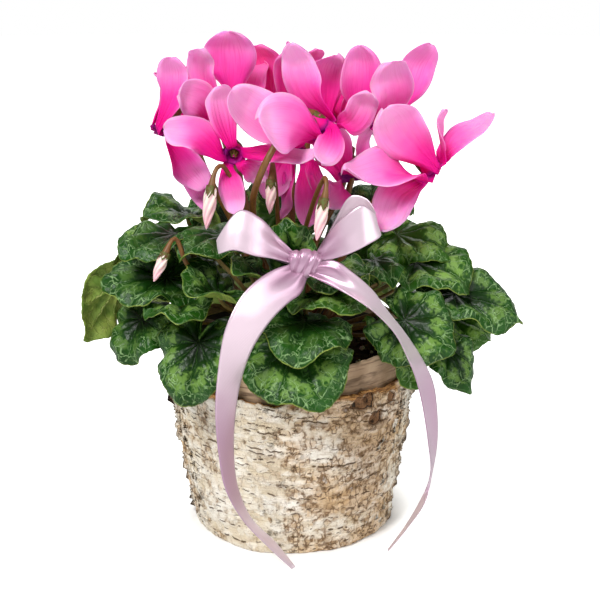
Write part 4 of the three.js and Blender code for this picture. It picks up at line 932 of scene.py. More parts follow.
main_veins = vein_lines(MAIN_VEINS, 0.7, 0.02, 0.95)
forks = vein_lines(2 * MAIN_VEINS, 0.55, 0.5, 0.94)
forks = most(forks, vein_lines(4 * MAIN_VEINS, 0.45, 0.74, 0.99, 0.7))
warp = waxy.node("TexNoise", flat, None, 0.35).outputs[1]
net = waxy.cell_edges(0.2, waxy.warped(flat, warp))
net = waxy.times(waxy.span(net, 0.08, 0.02), waxy.span(out, 0.55, 0.8))
net = waxy.times(net, waxy.span(fine, 0.38, 0.58))
net = waxy.times(net, waxy.span(drift, 0.35, 0.6, 0.25, 1.0))
lobe = waxy.maths("ABSOLUTE", waxy.maths("SINE", waxy.times(bend, MAIN_VEINS / 2)))
middle = waxy.times(drift, 0.5, 0.42)
ring = waxy.maths("ABSOLUTE", waxy.maths("SUBTRACT", out, middle))
ring = waxy.nudge(ring, fine, 0.6)
silver = waxy.times(waxy.span(ring, 0.19, 0.03), waxy.span(lobe, 0.2, 0.75))
silver = waxy.times(silver, waxy.span(tone, 0.0, 1.0, 0.12, 1.0))
green = waxy.mix(waxy.span(out, 0.1, 0.9), "#061602", "#1d4c0c")
green = waxy.mix(waxy.span(drift, 0.35, 0.7, 0, 0.6), green, "#0b2a07")
green = waxy.mix(waxy.span(tone, 0.6, 0.95, 0, 0.45), green, "#3f6d12")
upper = waxy.mix(waxy.times(silver, 0.9), green, "#82a94f")
upper = waxy.mix(waxy.times(main_veins, 0.5), upper, "#3a6424")
upper = waxy.mix(waxy.times(most(forks, net), 0.6), upper, "#a3c987")
hem = waxy.times(waxy.span(out, 0.975, 0.997), waxy.span(drift, 0.4, 0.62, 0.1, 0.75))
upper = waxy.mix(hem, upper, "#97a848")
lower = waxy.mix(waxy.span(drift, 0.3, 0.7), "#5d7a2e", "#8b9c48")
lower = waxy.mix(waxy.times(most(main_veins, forks), 0.6), lower, "#aab068")
waxy.give("Base Color", waxy.mix(waxy.fact("under"), upper, lower))
waxy.give("Roughness", waxy.times(waxy.fact("under"), 0.26, 0.34))
sunk = waxy.times(most(main_veins, forks, net), -0.8, waxy.times(fine, 0.9))
waxy.bump(sunk, 0.7, 0.9)

petiole = Finish("leaf_stalk", Roughness=0.5, Specular_IOR_Level=0.4)
streaks = petiole.noise(1.0, 3, petiole.stretch(900, 900, 120))
look = petiole.mix(petiole.fact("low"), "#7c7a3a", "#7a3f2b")
petiole.give("Base Color", petiole.mix(petiole.span(streaks, 0.4, 0.7, 0, 0.5), look, "#4e3a20"))
petiole.bump(streaks, 0.15, 0.5)

leaf_nodes = {}
for row in LEAVES:
    leaf_nodes.setdefault(row.get("node", row["name"]), []).extend(grow_leaf(row))
for node, grown in leaf_nodes.items():
    piece(node + "_grown", [node], grown)


# ---- blooms
# Each bloom nods on a fleshy stalk hooked at its top. Five petals, joined in a short tube, are
# swept back from its mouth: crimson-purple at the throat, hot pink, and pale at tips and edges.
THROAT = dict(radius=5.4, depth=8.5, mouth=3.4)
# Each bloom has the middle of its throat, the way it opens, its stalk's place in the crown, the
# points its stalk passes, and five petals: middle, tip, the way each faces, and its full width.
BLOOMS = [
    dict(name="right", throat=(76, -30, 219), axis=(0.65, 0.2, -0.7), root=(10.5, 318),
         stalk=[(30, -7, 165), (47, -18, 200), (55, -28, 222), (58, -31, 228)],
         petals=[
             dict(mid=(60, -41, 239), tip=(49, -46, 256), face=(-0.3, -0.9, 0.3), width=28, peak=0.7),
             dict(mid=(81, -26, 236), tip=(79, -24, 250), face=(0.85, -0.5, 0), width=13),
             dict(mid=(93, -20, 236), tip=(110, -15, 243), face=(-0.1, -0.8, 0.6), width=16),
             dict(mid=(56, -50, 206), tip=(50, -57, 188), face=(-0.4, -0.9, 0.1), width=20),
             dict(mid=(50, -50, 222), tip=(26, -58, 217), face=(-0.1, -0.8, 0.6), width=29, peak=0.5),
         ]),
    dict(name="front", throat=(17, -44, 243), axis=(0.75, -0.1, -0.65), root=(10.5, 268),
         stalk=[(-12, -24, 160), (-21, -46, 200), (-15, -61, 224), (-6, -56, 240), (1, -46, 251)],
         petals=[
             dict(mid=(-1, -62, 248), tip=(-18, -70, 249), face=(-0.2, -0.9, 0.4), width=31, peak=0.68),
             dict(mid=(-14, -50, 250), tip=(-31, -50, 264), face=(-0.2, -0.9, 0.3), width=25),
             dict(mid=(8, -40, 263), tip=(2, -40, 288), face=(-0.3, -0.9, 0.1), width=20, peak=0.5),
             dict(mid=(32, -34, 246), tip=(40, -34, 262), face=(0.3, -0.9, 0.2), width=18),
             dict(mid=(20, -58, 238), tip=(14, -64, 227), face=(0.2, -0.8, 0.5), width=16),
         ]),
    dict(name="left_open", throat=(-31, -40, 228), axis=(0, -0.97, -0.25), root=(10.5, 240),
         stalk=[(-14, -16, 160), (-28, -18, 205), (-30, -20, 226)],
         petals=[
             dict(mid=(-50, -44, 240), tip=(-67, -42, 240), face=(-0.1, -0.8, 0.6), width=22, peak=0.6),
             dict(mid=(-36, -42, 246), tip=(-40, -39, 264), face=(0.5, -0.8, 0.1), width=16),
             dict(mid=(-10, -49, 230), tip=(13, -53, 226), face=(0.1, -0.7, 0.7), width=12),
             dict(mid=(-23, -40, 221), tip=(-17, -33, 214), face=(0.3, -0.9, -0.1), width=13),
             dict(mid=(-32, -49, 214), tip=(-29, -50, 199), face=(0, -0.95, 0), width=14),
         ]),
    dict(name="left", throat=(-73, 0, 235), axis=(-0.6, -0.3, -0.75), root=(10.5, 165),
         stalk=[(-30, 6, 170), (-52, 10, 215), (-60, 8, 244)],
         petals=[
             dict(mid=(-66, -8, 257), tip=(-64, -10, 278), face=(-0.3, -0.9, 0.2), width=20, peak=0.7),
             dict(mid=(-62, 0, 216), tip=(-52, 6, 203), face=(0.2, -0.9, 0), width=19),
             dict(mid=(-60, 12, 206), tip=(-51, 14, 188), face=(0.2, -0.9, 0), width=12),
             dict(mid=(-73, 16, 250), tip=(-70, 26, 264), face=(-0.8, 0.3, 0.3), width=18),
             dict(mid=(-62, 18, 250), tip=(-56, 28, 264), face=(0.1, 0.9, 0.3), width=20),
         ]),
    dict(name="left_high", throat=(-41, -8, 246), axis=(0.3, -0.5, -0.8), root=(10.5, 200),
         stalk=[(-20, 0, 170), (-38, 8, 225), (-44, 8, 249)],
         petals=[
             dict(mid=(-35, -4, 268), tip=(-36, -4, 291), face=(0.2, -0.9, 0.2), width=30, peak=0.68),
             dict(mid=(-50, -20, 253), tip=(-63, -26, 258), face=(-0.2, -0.8, 0.5), width=20),
             dict(mid=(-48, -14, 268), tip=(-46, -18, 284), face=(-0.4, -0.9, 0.2), width=16),
             dict(mid=(-52, 12, 260), tip=(-50, 22, 278), face=(-0.3, 0.9, 0.2), width=20),
             dict(mid=(-26, 8, 260), tip=(-20, 14, 276), face=(0.5, 0.7, 0.2), width=20),
         ]),
    dict(name="back_high", throat=(-5, 28, 240), axis=(0.1, -0.2, -0.95), root=(10.5, 110),
         stalk=[(-4, 24, 180), (-8, 40, 225), (-8, 38, 254)],
         petals=[
             dict(mid=(-14, 22, 264), tip=(-18, 20, 283), face=(-0.5, -0.8, 0.2), width=20, peak=0.75),
             dict(mid=(-3, 18, 262), tip=(-3, 12, 281), face=(0.2, -0.9, 0.2), width=18, peak=0.75),
             dict(mid=(5, 28, 262), tip=(9, 30, 280), face=(0.8, -0.5, 0.2), width=16),
             dict(mid=(2, 46, 258), tip=(8, 56, 272), face=(0.4, 0.9, 0.2), width=22),
             dict(mid=(-20, 42, 258), tip=(-24, 52, 272), face=(-0.5, 0.8, 0.2), width=22),
         ]),
    dict(name="back_middle", throat=(20, 12, 240), axis=(0.1, -0.3, -0.9), root=(10.5, 60),
         stalk=[(8, 18, 180), (9, 25, 225), (12, 25, 249)],
         petals=[
             dict(mid=(10, 8, 264), tip=(2, 10, 286), face=(-0.8, -0.6, 0.1), width=14),
             dict(mid=(20, 2, 264), tip=(24, -2, 280), face=(0.1, -0.9, 0.2), width=22, peak=0.7),
             dict(mid=(31, 10, 257), tip=(36, 12, 275), face=(0.8, 0.2, 0.3), width=16),
             dict(mid=(30, 32, 258), tip=(36, 44, 272), face=(0.4, 0.9, 0.2), width=22),
             dict(mid=(18, 34, 256), tip=(18, 48, 266), face=(-0.5, 0.8, 0.2), width=18),
         ]),
    dict(name="right_high", throat=(46, 0, 238), axis=(0, -0.35, -0.9), root=(10.5, 15),
         stalk=[(24, 10, 165), (38, 18, 215), (47, 14, 248)],
         petals=[
             dict(mid=(39, -4, 262), tip=(39, -2, 283), face=(-0.3, -0.9, 0.1), width=22, peak=0.65),
             dict(mid=(56, -20, 258), tip=(50, -22, 276), face=(0.3, -0.9, 0.3), width=24, peak=0.6),
             dict(mid=(64, 4, 258), tip=(74, 12, 282), face=(0.4, -0.85, 0.2), width=20, peak=0.7),
             dict(mid=(58, 24, 254), tip=(66, 34, 266), face=(0.4, 0.9, 0.2), width=22),
             dict(mid=(40, 22, 255), tip=(38, 30, 268), face=(-0.5, 0.8, 0.2), width=16),
         ]),
    dict(name="centre_low", throat=(33, -8, 212), axis=(0.1, -0.5, -0.85), root=(10.5, 345),
         stalk=[(12, 0, 165), (28, 4, 200), (34, 4, 222)],
         petals=[
             dict(mid=(24, -14, 228), tip=(13, -18, 242), face=(-0.1, -0.9, 0.3), width=20),
             dict(mid=(39, -6, 226), tip=(42, 0, 238), face=(0.5, -0.8, 0.1), width=13),
             dict(mid=(28, -16, 204), tip=(17, -18, 198), face=(0.1, -0.9, 0.2), width=18),
             dict(mid=(44, 10, 218), tip=(52, 20, 228), face=(0.7, 0.6, 0.1), width=16),
             dict(mid=(22, 10, 222), tip=(16, 20, 230), face=(-0.3, 0.9, 0.1), width=18),
         ]),
    dict(name="centre_hanging", throat=(3, -2, 222), axis=(0, -0.9, -0.4), root=(1, 90),
         stalk=[(0, 4, 165), (0, 18, 205), (2, 16, 226)],
         petals=[
             dict(mid=(8, -10, 202), tip=(9, -12, 183), face=(0.1, -0.95, 0.1), width=15),
             dict(mid=(-3, -9, 203), tip=(-2, -8, 187), face=(-0.8, -0.5, 0.1), width=9),
             dict(mid=(14, -6, 208), tip=(21, -4, 195), face=(0.4, -0.9, 0.1), width=11),
             dict(mid=(-8, -4, 212), tip=(-16, -2, 200), face=(-0.2, -0.9, 0), width=18),
             dict(mid=(2, -10, 238), tip=(0, -6, 252), face=(0, -0.9, 0.3), width=18),
         ]),
]
PETAL_ROWS = 34
PETAL_COLUMNS = 27
PETAL_CUP = 0.3
CLAW_WIDTH = 5.6
SET_BACK = 0.35

satin_pink = Finish("petal", Roughness=0.55, Specular_IOR_Level=0.15)
out = satin_pink.fact("along")
side = satin_pink.fact("side")
tone = satin_pink.fact("tone")
blush = satin_pink.noise(45, 2)
reach = satin_pink.nudge(out, blush, 0.4)
look = satin_pink.mix(satin_pink.span(reach, 0.15, 0.7), "#e00080", "#ee3aa6")
look = satin_pink.mix(satin_pink.span(reach, 0.5, 1.05, 0, 0.95), look, "#f79bd2")
hem = satin_pink.maths("POWER", satin_pink.maths("ABSOLUTE", side), 7.0)
hem = satin_pink.times(hem, satin_pink.span(out, 0.25, 0.6, 0, 0.7))
look = satin_pink.mix(hem, look, "#f6a9d2")
fan = (satin_pink.times(side, 16.0), satin_pink.times(out, 2.0), tone)
veins = satin_pink.noise(1.6, 4, satin_pink.node("CombineXYZ", *fan).outputs[0])
look = satin_pink.mix(satin_pink.span(veins, 0.48, 0.7, 0, 0.34), look, "#d60a84")
look = satin_pink.mix(satin_pink.times(satin_pink.fact("inner"), 0.55), look, "#e80a88")
# Painted light and shade: petals further back are painted a deeper magenta, and those in front paler
# towards their tips, with a random spread among them.
look = satin_pink.mix(satin_pink.span(tone, 0.5, 0.05, 0, 0.75), look, "#e20076")
pale = satin_pink.times(satin_pink.span(tone, 0.55, 1.0, 0, 0.5), satin_pink.span(reach, 0.3, 0.95))
look = satin_pink.mix(pale, look, "#fbbae0")
look = satin_pink.mix(satin_pink.span(reach, 0.19, 0.02), look, "#7d0a72")
satin_pink.give("Base Color", look)
satin_pink.give("Subsurface Weight", 0.6)
satin_pink.give("Subsurface Radius", (1.0, 0.3, 0.8))
satin_pink.give("Subsurface Scale", 0.0024)
satin_pink.bump(veins, 0.35, 0.6)

fleshy = Finish("flower_stalk", Roughness=0.45, Specular_IOR_Level=0.45)
streaks = fleshy.noise(1.0, 3, fleshy.stretch(900, 900, 90))
look = fleshy.mix(fleshy.fact("low"), "#6b451c", "#6e3320")
look = fleshy.mix(fleshy.span(streaks, 0.35, 0.7, 0, 0.55), look, "#86602a")
fleshy.give("Base Color", look)
fleshy.bump(streaks, 0.15, 0.5)

calyx = Finish("calyx", Roughness=0.6, Specular_IOR_Level=0.3)
freckles = calyx.noise(900, 3)
calyx.give("Base Color", calyx.mix(calyx.span(freckles, 0.4, 0.65), "#59602c", "#5e3a22"))
calyx.bump(freckles, 0.2, 0.6)

pollen = Finish("stamens", Base_Color="#8c7a35", Roughness=0.7)
pollen.bump(pollen.noise(1500, 3), 0.2, 0.8)


def petal_places(bloom, axis):
    """The five ways out of the throat, each given to the petal that it suits best."""
    side = np.cross((0, 0, 1), axis)
    side = unit(side) if np.linalg.norm(side) >= 0.1 else np.array([1.0, 0, 0])
    other = np.cross(axis, side)
    ways = [np.array(petal["mid"]) - bloom["throat"] for petal in bloom["petals"]]
    turns = [math.atan2(way @ other, way @ side) for way in ways]
    order = sorted(range(len(turns)), key=lambda i: turns[i])
    fifth = 2 * math.pi / len(turns)
    start = sum(turns[petal] - i * fifth for i, petal in enumerate(order)) / len(turns)
    places = [None] * len(turns)
    for i, petal in enumerate(order):
        a = start + i * fifth
        places[petal] = side * math.cos(a) + other * math.sin(a)
    return places


def grow_petal(bloom, axis, petal, radial, seed):
    """One petal: a narrow claw out of the mouth, bent back, and a broad limb with rippled edges."""
    throat = np.array(bloom["throat"], float)
    root = throat + radial * (THROAT["radius"] - 1.2) - axis
    knee = throat + radial * (THROAT["radius"] + 1) + axis * 2.6
    spine = Run([root, knee, petal["mid"], petal["tip"]])
    start = np.cross(axis, radial)
    stop = unit(np.cross(spine.way(1.0), petal["face"]))
    flip = -1 if start @ stop < 0 else 1
    stop = stop * flip
    peak = petal.get("peak", 0.62)
    width = petal["width"]
    claw = CLAW_WIDTH / width
    s = (1 - (1 - np.linspace(0, 1, PETAL_ROWS)) ** 1.6)[:, None]
    v = np.linspace(-1, 1, PETAL_COLUMNS)[None]
    at = s + 0 * v
    swell = claw + (1 - claw) * smooth((at - 0.06) / (peak - 0.06))
    end = np.clip((at - peak) / (1.003 - peak), 0, 1)
    broad = np.where(at < peak, swell, (1 - end**2.2) ** 0.5)
    half = 0.5 * width * broad
    along = spine.way(at)
    sideways = start + (stop - start) * smooth(at * 1.4)[..., None]
    sideways = unit(sideways - along * (sideways * along).sum(-1, keepdims=True))
    normal = np.cross(along, sideways)
    # The blade is wavy at its edges, rolls back at one side, and its tip turns over a little.
    half = half * (1 + 0.09 * math.sin(1.9 * seed) * v + 0.03 * np.sin(10 * at + seed + 2 * v))
    deep = PETAL_CUP * (1.25 + 0.5 * math.sin(2.7 * seed))
    lift = -flip * deep * half * v * v * smooth(at * 2)
    edge = np.abs(v) ** 2.6 * smooth(at * 3)
    lift = lift + 0.075 * width * np.sin(8 * at + seed + 1.9 * np.sign(v)) * edge
    lift = lift + 0.02 * width * np.sin(19 * at + 2 * seed + 3 * v) * edge
    curl = 0.5 + 0.5 * np.sin(2.3 * seed + 1.6 * np.sign(v))
    lift = lift + flip * 0.16 * width * curl * smooth((np.abs(v) - 0.6) / 0.4) ** 2 * smooth(at * 2)
    lift = lift + 0.1 * width * v * np.sin(2.6 * at + seed)
    tip_turn = smooth((at - 0.72) / 0.28) ** 2
    lift = lift - flip * (0.1 + 0.1 * math.sin(5.1 * seed)) * spine.length * tip_turn
    lift = lift + flip * 0.03 * width * np.exp(-((v / 0.13) ** 2)) * smooth(at * 4) * (1 - at)
    lift = lift + 0.25 * np.sin(23 * v + seed) * smooth(at * 4) * (1.1 - at)
    points = spine.at(at) + sideways * (v * half)[..., None] + normal * lift[..., None]
    thin = (0.32 - 0.17 * np.abs(v) ** 3 + 0 * s).ravel()
    faces = band(PETAL_ROWS, PETAL_COLUMNS, closed=False)
    rim = sheet_rim(PETAL_ROWS, PETAL_COLUMNS)
    both, faces = shell(points.reshape(-1, 3), faces, rim, thin, thin)
    # The tone fact is low for petals further back and high for those in front, for painted shade and
    # light, with a random spread from the seed.
    facts = dict(along=np.tile((s + 0 * v).ravel(), 2), side=np.tile((v + 0 * s).ravel(), 2),
                 tone=np.full(len(both), 0.5 - petal["mid"][1] / 80 + 0.25 * math.sin(5.1 * seed)),
                 inner=np.repeat([0.0, 1.0] if flip > 0 else [1.0, 0.0], len(both) // 2))
    return dict(points=both, faces=faces, look=satin_pink, facts=facts)


def five_ways(axis, start=0.0):
    """Five ways out from an axis, at even angles."""
    side = unit(np.cross(axis, (0.3, 0.2, 0.9)))
    other = np.cross(axis, side)
    angles = [start + k * 2 * math.pi / 5 for k in range(5)]
    return [side * math.cos(a) + other * math.sin(a) for a in angles]


SEPAL_ROWS = 8
SEPAL_COLUMNS = 5


def sepals(at, axis, radius, length, width, spread):
    """Five small pointed leaves that lie along the back of a bloom or bud."""
    made = []
    for k, out in enumerate(five_ways(axis, 0.4)):
        across = np.cross(axis, out)
        s = np.linspace(0, 1, SEPAL_ROWS)[:, None]
        v = np.linspace(-1, 1, SEPAL_COLUMNS)[None]
        half = 0.5 * width * (1 - s**2.2) ** 0.8 * (0.75 + 0.5 * s * (1 - s) * 4) + 0.05
        far = radius + spread * s**1.3 + 0.35 * np.sin(3 * s + k)
        far = far * np.cos(v * half / radius * 0.8)
        points = at + axis * (length * s + 0 * v)[..., None] + out * far[..., None]
        points = points + across * (v * half)[..., None]
        flat = points.reshape(-1, 3)
        thin = np.full(len(flat), 0.18)
        faces = band(SEPAL_ROWS, SEPAL_COLUMNS, closed=False)
        both, faces = shell(flat, faces, sheet_rim(SEPAL_ROWS, SEPAL_COLUMNS), thin, thin)
        made.append(dict(points=both, faces=faces, look=calyx))
    return made


TUBE = [(0, -THROAT["depth"]), (THROAT["mouth"], -THROAT["depth"]), (4.1, -8.2), (4.9, -6),
        (5.3, -3.5), (5.5, -1), (5.5, 0.2), (4.9, 0.7), (4.0, 0.3), (THROAT["mouth"], -0.8),
        (3.0, -2.5), (1.2, -5), (0, -5.1)]
STAMEN_GIRTH = np.array([0.9, 1, 1, 0.9, 0.7, 0.45, 0.1])
STYLE_GIRTH = np.array([0.4, 0.4, 0.4, 0.4, 0.4, 0.45, 0.3])
for number, bloom in enumerate(BLOOMS):
    axis = unit(np.array(bloom["axis"], float))
    throat = np.array(bloom["throat"], float)
    back = throat - axis * (THROAT["depth"] + SET_BACK)
    path = [*rooted(bloom["root"], 4), *bloom["stalk"]]
    path += [*hook(path, back, axis, 7), back]
    # The stalk is thickest where it meets the crown, and swells at its top to hold the bloom.
    length = Run(path).length
    near_top = length - np.array([5, 4, 3, 2, 1.2, 0.5, 0])
    far = np.concatenate([np.linspace(0, length - 6, 56), near_top])
    radius = np.interp(far, [0, 8, length - 20, length - 5, length - 3, length - 1, length],
                       [2.4, 2.1, 1.75, 1.9, 3.1, 4.5, 4.1])
    points, faces, facts = rod(path, 16, far / length, radius)
    stalk = [dict(points=points, faces=faces, look=fleshy, facts=facts)]
    stalk += sepals(back - axis * 0.4, axis, 4.4, 6.6, 4.2, 1.3)
    piece("stalk_" + bloom["name"], ["stem_" + bloom["name"]], stalk)

    # The tube in which the petals join, paler down its outside.
    points, faces = turned(TUBE, 30, throat, axis)
    deep = (points - throat) @ axis
    outside = np.linalg.norm(points - throat - np.outer(deep, axis), axis=1) > 4.05
    facts = dict(along=0.02 + 0.036 * np.clip(-deep, 0, 9) * outside,
                 tone=np.full(len(points), 0.5))
    parts = [dict(points=points, faces=faces, look=satin_pink, facts=facts)]
    for i, (petal, radial) in enumerate(zip(bloom["petals"], petal_places(bloom, axis))):
        parts.append(grow_petal(bloom, axis, petal, radial, 3.7 * number + 1.3 * i))
    # Five stamens that lean together in the mouth, and the style between them.
    share = np.linspace(0, 1, len(STAMEN_GIRTH))
    for out in five_ways(axis):
        foot = throat + out * 1.8 - axis * 4.5
        stamen = [foot, throat + out * 1.3 - axis * 2, throat + out * 0.5]
        points, faces, _ = rod(stamen, 8, share, STAMEN_GIRTH)
        parts.append(dict(points=points, faces=faces, look=pollen))
    style = [throat - axis * 4.6, throat - axis * 1, throat + axis * 1.6]
    points, faces, _ = rod(style, 8, share, STYLE_GIRTH)
    facts = dict(along=np.full(len(points), 0.05), tone=np.full(len(points), 0.5))
    parts.append(dict(points=points, faces=faces, look=satin_pink, facts=facts))
    piece("petals_" + bloom["name"], ["bloom_" + bloom["name"]], parts)


# ---- buds
# Four unopened buds: petals wound into a pale pointed twist, in a green-brown calyx. Each nods
# on a hooked stalk of its own that springs from the crown.
BUD_SIDES = 30
BUD_TWIST = 2.6
BUD_RIPPLE = 0.13
BUDS = [
    dict(name="bud_left", at=(-42, -56, 214), tip=(-45, -60, 192), girth=3.3, root=(15.5, 226),
         stalk=[(-19, -28, 175), (-29, -41, 207), (-34, -47, 220)]),
    dict(name="bud_knot", at=(17, -74, 211), tip=(13, -77, 190), girth=3.1, root=(5, 300),
         stalk=[(4, -18, 165), (12, -48, 205), (16, -63, 218)]),
    dict(name="bud_low", at=(-67, -61, 179), tip=(-73, -66, 165), girth=2.7, root=(19.5, 226),
         stalk=[(-44, -42, 152), (-57, -57, 174), (-60, -56, 183)]),
    dict(name="bud_middle", at=(-11, -38, 214), tip=(-12, -40, 196), girth=2.8, root=(5, 220),
         stalk=[(-7, -8, 165), (-9, -20, 206), (-10, -27, 218)]),
]
furled = Finish("bud_petals", Roughness=0.5, Specular_IOR_Level=0.3)
out = furled.fact("along")
wound = furled.fact("wound")
look = furled.mix(furled.span(out, 0.15, 1.0), "#f1ded0", "#f1bcc6")
look = furled.mix(furled.span(wound, 0.0, -1.0, 0, 0.5), look, "#dd86a6")
furled.give("Base Color", look)
furled.give("Subsurface Weight", 0.15)
furled.give("Subsurface Scale", 0.002)
furled.bump(furled.noise(900, 3), 0.1, 0.4)
for bud in BUDS:
    neck = np.array(bud["at"], float)
    way = np.array(bud["tip"]) - neck
    long = np.linalg.norm(way)
    way = way / long
    path = [*rooted(bud["root"], 4), *bud["stalk"]]
    path += [*hook(path, neck, way, 5), neck, neck + way * 2]
    length = Run(path).length
    share = np.linspace(0, 1, 60)
    radius = np.interp(share * length, [0, 8, length - 8, length - 3, length],
                       [1.7, 1.5, 1.2, 2.0, 2.5])
    points, faces, facts = rod(path, 12, share, radius)
    parts = [dict(points=points, faces=faces, look=fleshy, facts=facts)]
    s = np.concatenate([np.linspace(0, 0.96, 30), [0.98, 0.995, 1.0]])
    girth = bud["girth"]
    shape = np.interp(s, [0, 0.06, 0.18, 0.34, 0.5, 0.7, 0.86, 0.96, 1.0],
                      np.array([0.6, 0.8, 0.94, 1.0, 0.95, 0.74, 0.46, 0.2, 0.03]) * girth)
    middle = neck + way * long / 2
    points, faces, facts = rod([neck, middle, bud["tip"]], BUD_SIDES, s, shape, BUD_TWIST, BUD_RIPPLE)
    a = np.arange(BUD_SIDES) * CIRCLE / BUD_SIDES
    facts["wound"] = np.cos(5 * np.concatenate([np.tile(a, len(s)), [0, 0]]))
    parts.append(dict(points=points, faces=faces, look=furled, facts=facts))
    parts += sepals(neck - way * 0.8, way, 2.3, 0.3 * long, girth * 1.1, girth * 0.3)
    piece(bud["name"] + "_furled", [bud["name"]], parts)


# ---- pick
# A florist's stick of thin split wood, dyed green. Its point is pushed into the soil, and the bow
# is tied to its top.
PICK = [(7, -68, 176), (6, -58, 158), (4, -42, 130), (3, -36, 104), (3, -34, 82)]
stick = Finish("pick_wood", Roughness=0.7)
grain = stick.noise(1.0, 4, stick.stretch(1500, 1500, 120))
stick.give("Base Color", stick.mix(grain, "#3f5a2e", "#6d8a4c"))
stick.bump(grain, 0.15, 0.6)
share = np.linspace(0, 1, 30)
points, faces, facts = rod(PICK, 12, share, np.interp(share, [0, 0.9, 1], [1.4, 1.4, 0.5]))
piece("pick_stick", ["ribbon_pick"], [dict(points=points, faces=faces, look=stick)])


# ---- bow
# One lilac satin ribbon, tied: two loops, two tails with slanted ends, and a puffed knot.
# Its strips are 20 mm wide and thin, pleated where they enter the knot.
KNOT = dict(width=17, height=14, depth=9, place=(7, -73.5, 177))
RIBBON_WIDTH = 20
# Each strip is laid through pairs of points, one at each of its edges.
TAIL_LEFT = [
    ((1, -74, 177), (9, -75, 171)),
    ((-9, -79, 175), (5, -81, 163)),
    ((-18, -86, 171), (-1, -84, 159)),
    ((-25, -92, 165), (-8, -87, 153)),
    ((-30, -97, 157), (-14, -90, 146)),
    ((-34, -100, 147), (-20, -91, 136)),
    ((-37, -103, 129), (-26, -90, 119)),
    ((-39, -102, 106), (-30, -87, 95)),
    ((-38, -100, 81), (-31, -84, 71)),
    ((-35, -98, 60), (-29, -83, 53)),
    ((-26, -97, 41), (-22, -83, 35)),
    ((-13, -96, 25), (-9, -84, 21)),
    ((0, -92, 9), (2, -88, 8)),
]
TAIL_RIGHT = [
    ((10, -74, 177), (7, -75, 172)),
    ((22, -79, 180), (19, -82, 168)),
    ((32, -81, 174), (27, -87, 165)),
    ((42, -82, 165), (35, -94, 162)),
    ((50, -82, 154), (43, -98, 157)),
    ((60, -82, 141), (53, -98, 146)),
    ((69, -82, 127), (60, -98, 132)),
    ((75, -80, 114), (64, -96, 122)),
    ((78, -78, 98), (68, -95, 107)),
    ((79, -77, 78), (72, -93, 85)),
    ((77, -78, 61), (74, -92, 67)),
    ((72, -88, 47), (70, -78, 42)),
    ((63, -90, 33), (62, -80, 28)),
    ((53, -87, 17), (53, -83, 16)),
]
LOOP_LEFT = [
    ((3, -71, 180), (2, -73, 176)),
    ((-7, -73, 191), (-9, -80, 181)),
    ((-16, -77, 202), (-19, -85, 184)),
    ((-26, -77, 206), (-29, -85, 187)),
    ((-38, -77, 191), (-37, -81, 184)),
    ((-38, -71, 189), (-34, -70, 183)),
    ((-28, -67, 200), (-26, -65, 181)),
    ((-14, -66, 195), (-15, -63, 178)),
    ((2, -71, 178), (2, -71, 174)),
]
LOOP_RIGHT = [
    ((11, -71, 180), (12, -73, 177)),
    ((19, -73, 193), (22, -79, 181)),
    ((26, -78, 202), (30, -84, 185)),
    ((36, -79, 209), (38, -84, 189)),
    ((43, -75, 204), (46, -78, 193)),
    ((39, -68, 210), (41, -67, 196)),
    ((31, -65, 211), (31, -63, 196)),
    ((22, -65, 197), (22, -64, 186)),
    ((12, -71, 178), (12, -71, 175)),
]
satin = Finish("lilac_satin", Roughness=0.3, Metallic=0.4, Specular_IOR_Level=0.7)
satin.give("Sheen Weight", 0.35)
satin.give("Sheen Roughness", 0.4)
across = satin.fact("across")
ribs = satin.maths("SINE", satin.times(satin.fact("long"), 9.0))
cloud = satin.noise(25, 2)
# Painted light and shade: along each strip the colour swings between a shaded mauve and a near-white
# highlight, broken up by a cloud noise.
painted_light_swing = satin.maths("SINE", satin.times(satin.fact("long"), 0.045, -1.1))
painted_light_swing = satin.nudge(painted_light_swing, cloud, 1.6)
look = satin.mix(satin.span(painted_light_swing, -1.0, 1.0), "#b992ac", "#e2ccd8")
# Painted shade: a darker mauve where the strips enter the knot, in the valleys of their pleats, and
# over the knot.
look = satin.mix(satin.span(satin.fact("held"), 0.1, 0.8, 0, 0.85), look, "#a0758f")
edge = satin.span(satin.maths("ABSOLUTE", across), 0.93, 0.99, 0, 0.5)
satin.give("Base Color", satin.mix(edge, look, "#93708a"))
satin.bump(ribs, 0.04, 0.35)

STRIP_ROWS = 120
STRIP_COLUMNS = 15


